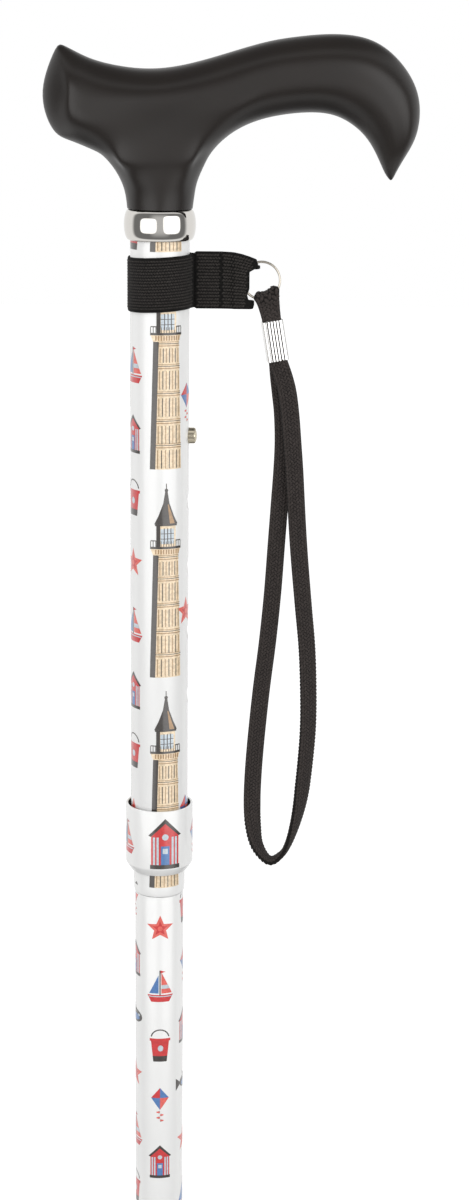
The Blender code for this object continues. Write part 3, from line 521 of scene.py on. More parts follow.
def making(name, data):
    """A new object in the scene with this mesh, camera or lamp."""
    made = bpy.data.objects.new(name, data)
    bpy.context.scene.collection.objects.link(made)
    return made


def modifier(maker, kind, **settings):
    """Adds a modifier with these settings."""
    made = maker.modifiers.new(kind.capitalize(), kind)
    for name, value in settings.items():
        setattr(made, name, value)
    return made


def grown(tree, mesh, **values):
    """The plain mesh that a geometry tree makes of a mesh, with its named inputs set."""
    maker = making("maker", mesh)
    change = modifier(maker, "NODES", node_group=tree)
    for item in tree.interface.items_tree:
        if item.item_type == "SOCKET" and item.in_out == "INPUT" and item.name in values:
            change[item.identifier] = values[item.name]
    return baked(maker)


def joined(meshes, name):
    """Several meshes made one, with their materials kept."""
    makers = [making(name, mesh) for mesh in meshes]
    with bpy.context.temp_override(
        active_object=makers[0], selected_objects=makers, selected_editable_objects=makers
    ):
        bpy.ops.object.join()
    mesh = makers[0].data
    bpy.data.objects.remove(makers[0], do_unlink=True)
    return mesh


def skin(bm, rings, closed=False):
    """Rows of faces from each ring of vertices to the next, and from the last to the first if
    closed. A ring may be one vertex, repeated."""
    rows = []
    following = rings[1:] + rings[:1] if closed else rings[1:]
    for a, b in zip(rings, following):
        row = []
        for k in range(len(a)):
            n = (k + 1) % len(a)
            corners = list(dict.fromkeys((a[k], a[n], b[n], b[k])))
            if len(corners) > 2:
                row.append(bm.faces.new(corners))
        rows.append(row)
    return rows


def lathe(name, profile, steps, angle=35.0):
    """A turned mesh. The (radius, height) points go down the outside and up the inside."""
    bm = bmesh.new()
    rings = []
    for radius, z in profile[::-1]:
        if radius == 0:
            rings.append([bm.verts.new((0.0, 0.0, z))] * steps)
            continue
        turns = (2 * math.pi * k / steps for k in range(steps))
        rings.append([bm.verts.new((radius * math.cos(t), radius * math.sin(t), z)) for t in turns])
    skin(bm, rings, True)
    return to_mesh(bm, name, angle)


def rounded(corners, radius, steps=3):
    """A closed profile with its corners rounded by quarter-like arcs of about this radius."""
    made = []
    count = len(corners)
    for k in range(count):
        before, here, after = (Vector(corners[(k + d) % count]) for d in (-1, 0, 1))
        to_before, to_after = before - here, after - here
        most = 0.45 * min(to_before.length, to_after.length)
        reach = min(radius, most)
        a = here + to_before.normalized() * reach
        b = here + to_after.normalized() * reach
        for n in range(steps + 1):
            t = n / steps
            made.append(tuple((1 - t) ** 2 * a + 2 * t * (1 - t) * here + t * t * b))
    return made


def smooth_line(points, count):
    """Points at an even spacing on a smooth curve through the given ones."""
    points = np.array([list(p) for p in points])
    ends = np.vstack([2 * points[0] - points[1], points, 2 * points[-1] - points[-2]])
    dense = []
    fine = 24
    for k in range(1, len(ends) - 2):
        a, b, c, d = ends[k - 1 : k + 3]
        for t in np.arange(fine) / fine:
            dense.append(0.5 * (2 * b + (c - a) * t + (2 * a - 5 * b + 4 * c - d) * t**2
                                + (3 * b - a - 3 * c + d) * t**3))
    dense = np.array([*dense, points[-1]])
    run = lengths(dense)
    want = np.linspace(0, run[-1], count)
    return np.stack([np.interp(want, run, dense[:, k]) for k in range(3)], axis=1)


def lengths(line):
    """How far along the line each of its points is."""
    steps = np.linalg.norm(np.diff(line, axis=0), axis=1)
    return np.concatenate([[0.0], np.cumsum(steps)])


def unit(vectors):
    return vectors / np.maximum(np.linalg.norm(vectors, axis=-1, keepdims=True), 1e-9)


def ways_of(line):
    """Unit vectors along a line of points, and across it towards the back."""
    along = unit(np.gradient(line, axis=0))
    return along, unit(np.array([0.0, 1.0, 0.0]) - along * along[:, 1:2])


class Strip:
    """A flat strip of fabric given by its left edge, middle line and right edge, from its start
    to its end. Its places are found by the distance along it and by the share across it, which
    is -1 at the left edge and 1 at the right."""

    # The outermost threads: their share across, and how much straighter and more rolled over
    # the edge they lie
    OUTERMOST = 0.92
    STRAIGHTER = 0.8
    ROLLED = 0.9

    def __init__(self, left, middle, right, thickness, squareness):
        self.left, self.middle, self.right = left, middle, right
        self.run = lengths(middle)
        self.along = unit(np.gradient(middle, axis=0))
        self.across = unit(right - left)
        self.out = unit(np.cross(self.along, self.across))
        self.thickness = thickness
        self.squareness = squareness

    def at(self, values, distance):
        return np.array([np.interp(distance, self.run, values[:, k]) for k in range(3)])

    def height(self, share):
        return self.thickness / 2 * math.sqrt(max(0.0, 1 - abs(share) ** self.squareness))

    def place(self, distance, share, side):
        left, middle, right = (self.at(v, distance) for v in (self.left, self.middle, self.right))
        flat = middle + share * (right - left) / 2 + share**2 * ((right + left) / 2 - middle)
        return flat + side * self.height(share) * unit(self.at(self.out, distance))

    def body(self, name, shares=9):
        """The strip's own closed mesh."""
        bm = bmesh.new()
        spread = [math.sin(math.pi / 2 * (2 * k / (shares - 1) - 1)) for k in range(shares)]
        around = [(t, 1) for t in spread] + [(t, -1) for t in spread[-2:0:-1]]
        rings = [[bm.verts.new(self.place(d, t, side)) for t, side in around] for d in self.run]
        skin(bm, rings)
        bm.faces.new(rings[0])
        bm.faces.new(rings[-1])
        bmesh.ops.recalc_face_normals(bm, faces=bm.faces)
        return to_mesh(bm, name, 60)

    def threads(self, pitch, columns, lean, sides, margin, sink=0.75):
        """Where the threads float on the surface, as rows of (place, along, out). Neighbouring
        columns lean to opposite sides and are half a thread apart."""
        made = []
        for column in range(columns):
            share = self.OUTERMOST * ((2 * column + 1) / columns - 1)
            shift = 0.25 + 0.5 * (column % 2)
            for number in range(int((self.run[-1] - 2 * margin) / pitch)):
                distance = margin + (number + shift) * pitch
                for side in sides:
                    place = self.place(distance, share, side * sink)
                    turn = lean * (1 - self.STRAIGHTER * share**4) * (1 if column % 2 else -1)
                    along = unit(self.at(self.along, distance)) * math.cos(turn)
                    along = along + unit(self.at(self.across, distance)) * math.sin(turn)
                    out = side * unit(self.at(self.out, distance))
                    roll = self.ROLLED * share**5
                    out = unit(out + roll * unit(self.at(self.across, distance)))
                    made.append((place, along, out))
        return made


# Geometry trees


def geometry_tree(name, **sockets):
    """An empty geometry tree with named inputs, and what its group's ends give and take."""
    tree = bpy.data.node_groups.new(name, "GeometryNodeTree")
    for label, kind in {"Geometry": "Geometry", **sockets}.items():
        tree.interface.new_socket(label, in_out="INPUT", socket_type=f"NodeSocket{kind}")
    tree.interface.new_socket("Geometry", in_out="OUTPUT", socket_type="NodeSocketGeometry")
    given = tree.nodes.new("NodeGroupInput").outputs
    taken = tree.nodes.new("NodeGroupOutput").inputs
    return tree, given, taken


def instances(tree, points, instance, **inputs):
    """The instance on each point, made real."""
    placed = node(
        tree, "GeometryNodeInstanceOnPoints", {"Points": points, "Instance": instance, **inputs}
    )
    return node(tree, "GeometryNodeRealizeInstances", {"Geometry": placed})


def thread_tree():
    """Threads that float on cloth: one short spindle on each point, laid along it."""
    tree, given, taken = geometry_tree(
        "thread_floats", Length="Float", Width="Float", Height="Float", Thread="Material"
    )
    ball = node(tree, "GeometryNodeMeshUVSphere", {"Segments": 6, "Rings": 4, "Radius": 0.5})
    sides = {"X": given["Height"], "Y": given["Width"], "Z": given["Length"]}
    size = node(tree, "ShaderNodeCombineXYZ", sides)
    spindle = node(tree, "GeometryNodeTransform", {"Geometry": ball, "Scale": size})
    along, out = (
        node(tree, "GeometryNodeInputNamedAttribute", {"Name": name}, data_type="FLOAT_VECTOR")
        for name in ("along", "out")
    )
    laid = node(tree, "FunctionNodeAlignRotationToVector", {"Vector": along}, axis="Z")
    faced = node(
        tree, "FunctionNodeAlignRotationToVector", {"Rotation": laid, "Vector": out}, axis="X",
        pivot_axis="Z",
    )
    real = instances(tree, given["Geometry"], spindle, Rotation=faced)
    soft = node(tree, "GeometryNodeSetShadeSmooth", {"Geometry": real})
    last = node(tree, "GeometryNodeSetMaterial", {"Geometry": soft, "Material": given["Thread"]})
    tree.links.new(last, taken["Geometry"])
    return tree


def thread_mesh(places, size, material):
    """The threads on rows of (place, along, out), each of one length, width and height."""
    mesh = bpy.data.meshes.new("threads")
    mesh.from_pydata([tuple(p[0]) for p in places], [], [])
    for name, number in (("along", 1), ("out", 2)):
        layer = mesh.attributes.new(name, "FLOAT_VECTOR", "POINT")
        layer.data.foreach_set("vector", np.array([p[number] for p in places]).ravel())
    length, width, height = size
    return grown(
        thread_tree(), mesh, Length=length, Width=width, Height=height, Thread=material
    )


def hole_tree():
    """A row of round holes down the +X side of a tube."""
    tree, given, taken = geometry_tree(
        "row_of_holes", Count="Int", First="Vector", Step="Vector", Radius="Float",
        Reach="Float", Finish="Material",
    )
    size = {"Vertices": 40, "Radius": given["Radius"], "Depth": given["Reach"]}
    drill = node(tree, "GeometryNodeMeshCylinder", size)
    on_side = {"Geometry": drill, "Rotation": (0.0, math.pi / 2, 0.0)}
    laid = node(tree, "GeometryNodeTransform", on_side)
    row = {"Count": given["Count"], "Start Location": given["First"], "Offset": given["Step"]}
    drills = instances(tree, node(tree, "GeometryNodeMeshLine", row), laid)
    bored = node(
        tree, "GeometryNodeMeshBoolean", {"Mesh 1": given["Geometry"], "Mesh 2": drills},
        operation="DIFFERENCE", solver="EXACT",
    )
    last = node(tree, "GeometryNodeSetMaterial", {"Geometry": bored, "Material": given["Finish"]})
    tree.links.new(last, taken["Geometry"])
    return tree


def print_tree(inks):
    """Wraps flat motifs round a tube. Each point is a motif's middle, with the distance round
    the tube from its front as X and the height as Z, and it names its motif by number."""
    tree, given, taken = geometry_tree(
        "wrapped_print", Motifs="Collection", Radius="Float", Film="Float"
    )
    choice = {"Collection": given["Motifs"], "Separate Children": True, "Reset Children": True}
    motifs = node(tree, "GeometryNodeCollectionInfo", choice)
    which, ink = (
        node(tree, "GeometryNodeInputNamedAttribute", {"Name": name}, data_type="INT")
        for name in ("motif", "ink")
    )
    pick = {"Pick Instance": True, "Instance Index": which}
    real = instances(tree, given["Geometry"], motifs, **pick)
    place = node(tree, "GeometryNodeInputPosition")
    flat = node(tree, "ShaderNodeSeparateXYZ", {"Vector": place}, None)
    turn = maths(tree, "DIVIDE", flat["X"], given["Radius"])
    film = maths(tree, "ADD", given["Radius"], given["Film"])
    reach = maths(tree, "SUBTRACT", film, flat["Y"])
    side = maths(tree, "MULTIPLY", maths(tree, "SINE", turn), reach)
    depth = maths(tree, "MULTIPLY", maths(tree, "COSINE", turn), reach)
    front = maths(tree, "MULTIPLY", depth, -1.0)
    wrapped = node(tree, "ShaderNodeCombineXYZ", {"X": side, "Y": front, "Z": flat["Z"]})
    last = node(tree, "GeometryNodeSetPosition", {"Geometry": real, "Position": wrapped})
    for number, material in enumerate(inks):
        same = node(
            tree, "FunctionNodeCompare", {2: ink, 3: number}, data_type="INT", operation="EQUAL"
        )
        inked = {"Geometry": last, "Selection": same, "Material": material}
        last = node(tree, "GeometryNodeSetMaterial", inked)
    tree.links.new(last, taken["Geometry"])
    return tree


# Studio


class StickStudioSettings(bpy.types.PropertyGroup):
    floor: colour_prop("Floor", "#f4f4f4", "Colour of the pale floor")
    fill: share_prop("Fill", 0.8, "Level of the even light from all round", 4.0)
    lamps: bpy.props.FloatProperty(
        name="Lamps", description="Power of each of the two soft lamps", unit="POWER",
        min=0.0, default=9.0,
    )
    panel: share_prop("Panels", 2.2, "How bright the two lit panels look in gloss", 8.0)
    dark: share_prop("Dark room", 0.2, "How bright the dark room round them looks in gloss", 4.0)


def maths(tree, way, first, second=0.0):
    """The result of one sum on values or sockets."""
    return node(tree, "ShaderNodeMath", {0: first, 1: second}, operation=way)


def fade(tree, value, start, end):
    """0 at the start value and 1 at the end value, with a smooth step between them."""
    steps = {"Value": value, "From Min": start, "From Max": end}
    return node(tree, "ShaderNodeMapRange", steps, interpolation_type="SMOOTHSTEP")


def patch(tree, across, up, left, right, low, high, soft):
    """1 inside a rectangle with round corners, fading over a share of its size at the edge."""
    reach = []
    for value, a, b in ((across, left, right), (up, low, high)):
        from_middle = maths(tree, "SUBTRACT", value, (a + b) / 2)
        share = maths(tree, "ABSOLUTE", maths(tree, "DIVIDE", from_middle, (b - a) / 2))
        reach.append(maths(tree, "POWER", share, 4.0))
    edge = maths(tree, "POWER", maths(tree, "ADD", *reach), 0.25)
    return fade(tree, edge, 1 + soft, 1 - soft)


def blended(tree, factor, first, second):
    """The first value where the factor is 0, and the second where it is 1."""
    return node(tree, "ShaderNodeMix", {0: factor, 2: first, 3: second})


class STICK_OT_studio(bpy.types.Operator):
    """Camera, pale floor, and a white studio whose front is a dark room with two lit panels"""

    bl_idname = "stick.studio"
    bl_label = "Studio"

    def execute(self, context):
        settings = context.scene.stick_studio
        data = bpy.data.cameras.new("camera")
        data.lens = CAMERA_LENS
        data.sensor_fit = "VERTICAL"
        data.sensor_height = 36.0
        data.clip_start = 0.05
        camera = making("camera", data)
        camera.matrix_world = (
            Matrix.Translation(CAMERA_PLACE)
            @ Matrix.Rotation(math.pi / 2 + CAMERA_PITCH, 4, "X")
            @ Matrix.Rotation(CAMERA_ROLL, 4, "Z")
        )
        context.scene.camera = camera
        context.scene.view_settings.view_transform = "Standard"
        self.world(context, settings)
        self.floor(settings)
        for name, place in LAMPS.items():
            lamp = bpy.data.lights.new(name, "AREA")
            lamp.energy = settings.lamps
            lamp.size = LAMP_SIZE
            made = making(name, lamp)
            made.location = place
            made.rotation_euler = (LIT_PLACE - place).to_track_quat("-Z", "Y").to_euler()
            made.visible_glossy = False
        return {"FINISHED"}

    def world(self, context, settings):
        """White to the camera, even to matt surfaces. What gloss shows is laid out round the
        direction halfway to the camera, as it lies on a round bright piece: a dark room with two
        lit panels, a pale band above and below it, and the white sweep behind the stick."""
        world = bpy.data.worlds.new("studio")
        world.use_nodes = True
        context.scene.world = world
        tree = world.node_tree
        way = node(tree, "ShaderNodeTexCoord", out="Generated")
        towards = {0: way, 1: TO_CAMERA}
        half = node(tree, "ShaderNodeVectorMath", towards, operation="ADD")
        facing = node(tree, "ShaderNodeVectorMath", {0: half}, operation="NORMALIZE")
        part = node(tree, "ShaderNodeSeparateXYZ", {"Vector": facing}, None)
        up = part["Z"]
        level_part = maths(tree, "SUBTRACT", 1.001, maths(tree, "MULTIPLY", up, up))
        across = maths(tree, "DIVIDE", part["X"], maths(tree, "SQRT", level_part))
        behind = node(tree, "ShaderNodeVectorMath", towards, "Value", operation="DOT_PRODUCT")
        beyond = fade(tree, maths(tree, "ABSOLUTE", up), *PALE_BAND)
        gloss = blended(tree, beyond, PALE_LEVEL, settings.dark)
        gloss = blended(tree, fade(tree, behind, *WHITE_SWEEP), gloss, PALE_LEVEL)
        for edges, soft, level in (
            (DARK_ROOM, 0.07, settings.dark), (GLIMMER, 0.5, 3 * settings.dark),
            (LEFT_PANEL, 0.1, settings.panel), (RIGHT_PANEL, 0.1, settings.panel),
        ):
            gloss = blended(tree, patch(tree, across, up, *edges, soft), gloss, level)
        ray = node(tree, "ShaderNodeLightPath", out=None)
        level = blended(tree, ray["Is Glossy Ray"], settings.fill, gloss)
        level = blended(tree, ray["Is Camera Ray"], level, 1.0)
        tree.links.new(level, tree.nodes["Background"].inputs["Color"])

    def floor(self, settings):
        """Pale floor that is white to the camera where it is lit, and keeps the shadow. It stays
        under the foot as the sections move out."""
        made = finish("pale_floor", toned(settings.floor, 0.5), Roughness=0.9)
        tree = made.node_tree
        ray = node(tree, "ShaderNodeLightPath", out="Is Camera Ray")
        strength = maths(tree, "MULTIPLY", ray, FLOOR_GLOW)
        light = {"Color": (*settings.floor, 1.0), "Strength": strength}
        glow = node(tree, "ShaderNodeEmission", light)
        lit = tree.nodes["Principled BSDF"].outputs[0]
        both = node(tree, "ShaderNodeAddShader", {0: lit, 1: glow})
        tree.links.new(both, tree.nodes["Material Output"].inputs["Surface"])
        bm = bmesh.new()
        bmesh.ops.create_grid(bm, x_segments=1, y_segments=1, size=FLOOR_REACH)
        mesh = to_mesh(bm, "floor")
        mesh.transform(Matrix.Translation((0.0, 0.0, FOOT_Z)))
        mesh.materials.append(made)
        ground = making("floor", mesh)
        ground.visible_glossy = False
        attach(ground, "section_3")


# Wrist loop


class StickCordSettings(bpy.types.PropertyGroup):
    width: length_prop("Width", 6.7, "Width of the flat braid")
    thickness: length_prop("Thickness", 2.4, "Thickness of the flat braid")
    core: colour_prop("Ground", "#171514", "Colour deep between the threads")
    yarn: colour_prop("Thread", "#373230", "Colour of the braid's threads")
    thread: length_prop("Thread length", 2.3, "Length of one float of the braid")
    pitch: length_prop("Pitch", 1.5, "Distance between floats along the braid")
    columns: count_prop("Columns", 6, "Columns of floats across the braid")
    lean: angle_prop("Lean", 31.0, "How far the floats lean from the braid's run")


def loop_line():
    """The loop's middle line, from inside the crimp down the back strand and up the front one."""
    hidden = LOOP_START - HANG * CORD_IN_CRIMP
    route = (Vector((x, 0.0, z)) * MM for x, z in LOOP_ROUTE)
    plane = [hidden, LOOP_START, *route, LOOP_START, hidden]
    run = lengths(np.array([list(p) for p in plane]))
    half = STRAND_SPACING / 2
    points = []
    for place, along in zip(plane, run):
        share = along / run[-1]
        side = min(1.0, abs(share - 0.5) / CROSSING)
        points.append((place.x, math.copysign(half * side, 0.5 - share), place.z))
    return smooth_line(points, 300)


def cord_strip(settings):
    """The flat braid on the loop's line. Its flat side faces the front, and turns on edge round
    the loop's bottom."""
    line = loop_line()
    run = lengths(line)
    along, depth = ways_of(line)
    lowest = run[int(np.argmin(line[:, 2]))]
    turn = math.pi / 2 * (1 + np.interp(run - lowest, *zip(*TWIST)))
    flat = unit(np.cross(along, depth))
    across = flat * np.cos(turn)[:, None] + depth * np.sin(turn)[:, None]
    from_end = np.maximum(0.0, np.minimum(run, run[-1] - run) - CORD_IN_CRIMP)
    width = np.interp(from_end, (0.0, PINCH_FADE), (CRIMPED_WIDTH, settings.width))
    half = across * width[:, None] / 2
    return Strip(line - half, line, line + half, settings.thickness, 3.0)


def eye_strip():
    """The braid's turn over the ring, spread flat. It lies on the ring's inner curve, and its
    two legs come together above the crimp."""
    half_gap = WIRE_PITCH / 2 + WIRE_RADIUS + CLEARANCE + EYE_SLACK + EYE_THICKNESS / 2
    arch = half_gap - 2 * EYE_SLACK
    seat = SPLIT_RADIUS - WIRE_RADIUS - CLEARANCE - EYE_THICKNESS / 2
    strand = STRAND_SPACING / 2
    edges = []
    for side in (-1, 0, 1):
        turn = EYE_ANGLE + side * EYE_WIDTH / 2 / seat
        out = Vector((math.sin(turn), 0.0, -math.cos(turn)))
        leg = []
        for degrees in range(90, -1, -15):
            bend = math.radians(degrees)
            point = SPLIT_CENTRE + out * (seat + arch * (1 - math.sin(bend)))
            leg.append(Vector((point.x, half_gap * math.cos(bend), point.z)))
        spread = leg[-1]
        pinched = EYE_POINT + HANG_ACROSS * side * CRIMPED_WIDTH / 2
        for drop, y in (
            (EYE_TO_CRIMP / 2, (half_gap + strand) / 2), (EYE_TO_CRIMP - 1 * MM, strand),
            (EYE_TO_CRIMP + CORD_IN_CRIMP, strand),
        ):
            point = spread.lerp(pinched + HANG * drop, min(1.0, drop / EYE_TO_CRIMP))
            leg.append(Vector((point.x, y, point.z)))
        edges.append(smooth_line([Vector((p.x, -p.y, p.z)) for p in leg[:0:-1]] + leg, 48))
    return Strip(*edges, EYE_THICKNESS, 3.0)


class STICK_OT_wrist_loop(bpy.types.Operator):
    """Flat braided wrist loop and its turn over the ring"""

    bl_idname = "stick.wrist_loop"
    bl_label = "Wrist loop"

    def execute(self, context):
        settings = context.scene.stick_cord
        core = woven_black("braid_ground", settings.core, 0.4 * MM)
        yarn = woven_black("braid_thread", settings.yarn, 0.3 * MM)
        made = []
        for name, strip, size in (
            ("wrist_loop_braid", cord_strip(settings), 1.0),
            ("braid_turn", eye_strip(), EYE_WIDTH / settings.width),
        ):
            body = strip.body(name)
            body.materials.append(core)
            places = strip.threads(
                settings.pitch * size, settings.columns, settings.lean, (1, -1), BRAID_MARGIN,
                BRAID_SINK,
            )
            thread = settings.thread * size
            shape = (thread, BRAID_THREAD_WIDTH * thread, BRAID_THREAD_HEIGHT)
            threads = thread_mesh(places, shape, yarn)
            made.append(joined([body, threads], name))
        eye = piece("braid_turn", made[1], None, None, "cord_black", "cord_eye")
        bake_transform(eye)
        loop = piece(
            "wrist_loop_braid", made[0], None, "wrist_loop", "cord_black", "wrist_cord"
        )
        line = loop_line()
        return {"FINISHED"}


# Bright pieces


class StickMetalSettings(bpy.types.PropertyGroup):
    chrome: colour_prop("Collar", "#dddad5", "Colour of the collar's chrome")
    nickel: colour_prop("Ring", "#cdc6ba", "Colour of the split ring's plating")
    crimp: colour_prop("Crimp", "#efeeec", "Colour of the crimp's plating")
    creases: count_prop("Creases", 5, "Pressed creases on each broad side of the crimp")
    crease: length_prop("Crease depth", 0.5, "Depth of a crease in the crimp")
    turn: angle_prop("Crimp's turn", 8.0, "How far the crimp is turned about the loop's hang")


def crimp_outline(inset, creases, depth):
    """A rectangle with round corners and sharp creases in both broad sides, as (x, y)."""
    corner = CRIMP_CORNER - inset
    flat = CRIMP_HALF_WIDTH - CRIMP_CORNER
    half_depth = CRIMP_HALF_DEPTH - inset
    outline = []
    for number, (side_x, side_y) in enumerate(((1, 1), (-1, 1), (-1, -1), (1, -1))):
        for k in range(7):
            turn = math.radians(90 * number + 15 * k)
            x = side_x * flat + corner * math.cos(turn)
            outline.append((x, side_y * (half_depth - corner) + corner * math.sin(turn)))
        if side_x != side_y:
            continue
        for n in range(creases):
            x = side_x * flat * (1 - (2 * n + 1) / creases)
            for reach, share in CREASE_SHAPE:
                beside = side_x * reach * flat / creases
                outline.append((x + beside, side_y * (half_depth - share * depth)))
    return outline


class STICK_OT_crimp(bpy.types.Operator):
    """Pressed metal crimp that holds both strands of the loop"""

    bl_idname = "stick.crimp"
    bl_label = "Crimp"

    def execute(self, context):
        settings = context.scene.stick_metal
        depth = Vector((0.0, 1.0, 0.0))
        wide = HANG_ACROSS * math.cos(settings.turn) + depth * math.sin(settings.turn)
        deep = depth * math.cos(settings.turn) - HANG_ACROSS * math.sin(settings.turn)
        lip, crease = 0.2 * MM, settings.crease
        walls = (
            (0.0, lip, crease), (lip, 0.0, crease), (CRIMP_LENGTH / 2, 0.0, crease),
            (CRIMP_LENGTH - lip, 0.0, crease), (CRIMP_LENGTH, lip, crease),
            (CRIMP_LENGTH, CRIMP_WALL, 0.0), (0.0, CRIMP_WALL, 0.0),
        )
        bm = bmesh.new()
        rings = []
        for drop, inset, cut in walls:
            outline = crimp_outline(inset, settings.creases, cut)
            place = CRIMP_START + HANG * drop
            rings.append([bm.verts.new(place + wide * x + deep * y) for x, y in outline])
        # Faces deep in the creases take the second material, painted shade that darkens them
        broad = CRIMP_HALF_WIDTH - CRIMP_CORNER
        shaded_crease = [abs(x) < broad and abs(y) < CRIMP_HALF_DEPTH - 0.1 * crease
                   for x, y in crimp_outline(0.0, settings.creases, crease)]
        for faces in skin(bm, rings, True)[:4]:
            for k, face in enumerate(faces):
                face.material_index = int(shaded_crease[k] and shaded_crease[(k + 1) % len(shaded_crease)])
        bmesh.ops.recalc_face_normals(bm, faces=bm.faces)
        mesh = to_mesh(bm, "crimp", 25)
        for made in (pressed_tin(settings), painted_crease_shade()):
            mesh.materials.append(made)
        piece("crimp", mesh, None, "wrist_loop", "steel", "cord_crimp")
        return {"FINISHED"}


def wire_mesh(name, line, radius, steps=14):
    """A round wire with closed, slightly domed ends along a line of points."""
    bm = bmesh.new()
    along, depth = ways_of(line)
    turns = 2 * math.pi * np.arange(steps) / steps
    rings = []
    for place, a, b in zip(line, np.cross(along, depth), depth):
        rings.append([
            bm.verts.new(place + radius * (math.cos(t) * a + math.sin(t) * b)) for t in turns
        ])
    skin(bm, rings)
    for ring, way in ((rings[0], -along[0]), (rings[-1], along[-1])):
        middle = sum((v.co for v in ring), Vector()) / steps
        tip = bm.verts.new(middle + Vector(way) * radius * 0.35)
        skin(bm, [ring, [tip] * steps])
    bmesh.ops.recalc_face_normals(bm, faces=bm.faces)
    return to_mesh(bm, name)


class STICK_OT_split_ring(bpy.types.Operator):
    """Two-turn split ring of nickel-plated wire"""

    bl_idname = "stick.split_ring"
    bl_label = "Split ring"

    def execute(self, context):
        fine = 80
        crossing = 8
        line = []
        for k in range(2 * fine):
            turn = 2 * math.pi * k / fine + WIRE_START
            step = min(max((k - fine + crossing) / (2 * crossing), 0.0), 1.0)
            y = WIRE_PITCH * (step * step * (3 - 2 * step) - 0.5)
            out = Vector((SPLIT_RADIUS * math.cos(turn), y, SPLIT_RADIUS * math.sin(turn)))
            line.append(list(SPLIT_CENTRE + out))
        mesh = wire_mesh("ring_wire", np.array(line), WIRE_RADIUS)
        piece("ring_wire", mesh, nickel_wire(context.scene.stick_metal), "split_ring", "steel",
              "split_ring")
        return {"FINISHED"}


class STICK_OT_collar(bpy.types.Operator):
    """Chromed barrel collar under the handle's neck"""

    bl_idname = "stick.collar"
    bl_label = "Collar"

    def execute(self, context):
        top, bottom = COLLAR_HIGH.z, COLLAR_LOW.z
        bore = TUBE_RADIUS + CLEARANCE
        edge = bore + COLLAR_EDGE
        bulge = COLLAR_HIGH.y - edge
        rounds = 48
        turns = (math.pi * (0.5 - k / rounds) for k in range(rounds + 1))
        profile = [
            (edge + bulge * math.cos(t), (top + bottom) / 2 + (top - bottom) / 2 * math.sin(t))
            for t in turns
        ]
        flange = top - COLLAR_FLANGE
        hole = STUD_RADIUS + CLEARANCE
        profile += [(bore, bottom), (bore, flange), (hole, flange), (hole, top)]
        piece("collar", lathe("collar", profile, 128), chrome_plating(context.scene.stick_metal),
              "top_section", "collar_chrome", "handle_collar")
        return {"FINISHED"}


# Handle


class StickHandleSettings(bpy.types.PropertyGroup):
    colour: colour_prop("Colour", "#1a1512", "Colour of the moulded handle")
    roughness: share_prop("Roughness", 0.36, "How dull the satin lacquer is")
    smoothing: count_prop("Smoothing", 3, "How often the handle's cage is divided")
    horn: share_prop("Horn", 0.4, "How sharp the edge from the butt's horn is")


def arm_ring(top, bottom, half_width, wrap, low_wide):
    """Eight points round the arm: top, three down the front, bottom, three up the back. wrap
    carries the flanks along +X, as round the butt's end. low_wide is the lower flanks' share of
    the width, which is nearly all of it where the neck goes on below."""
    shares = [(0.0, 0.0), (0.2, HIGH_FLANK), (0.5, 1.0), (0.8, low_wide), (1.0, 0.0)]
    ring = []
    for share, wide in shares + shares[3:0:-1]:
        side = -1 if len(ring) < 5 else 1
        x = top[0] + (bottom[0] - top[0]) * share + wrap * wide
        z = top[1] + (bottom[1] - top[1]) * share
        ring.append(Vector((x, side * wide * half_width, z)) * MM)
    return ring


def neck_ring(left, right, half_width, beside):
    """Ten points round the neck, from the butt side over the back to the beak side."""
    ring = []
    flat = math.cos(math.radians(beside))
    back = (180 - NECK_CORNER, 90 + beside, 90 - beside, NECK_CORNER)
    for degrees in (180, *back, 0, *(-angle for angle in back[::-1])):
        turn = math.radians(degrees)
        share = (1 + math.cos(turn)) / 2
        x = left[0] + (right[0] - left[0]) * share
        z = left[1] + (right[1] - left[1]) * share
        ring.append(Vector((x, half_width * math.sin(turn) / flat, z)) * MM)
    return ring


def limit_point(vertex, rim):
    """Where Catmull-Clark subdivision takes a cage's vertex. rim holds the sharp edges."""
    sharp = [e.other_vert(vertex).co for e in vertex.link_edges if e in rim]
    if sharp:
        return (sharp[0] + 4 * vertex.co + sharp[1]) / 6
    n = len(vertex.link_edges)
    total = n * n * vertex.co
    for edge in vertex.link_edges:
        total += 4 * edge.other_vert(vertex).co
    for face in vertex.link_faces:
        near = {e.other_vert(vertex) for e in vertex.link_edges} | {vertex}
        total += next(v.co for v in face.verts if v not in near)
    return total / (n * (n + 5))


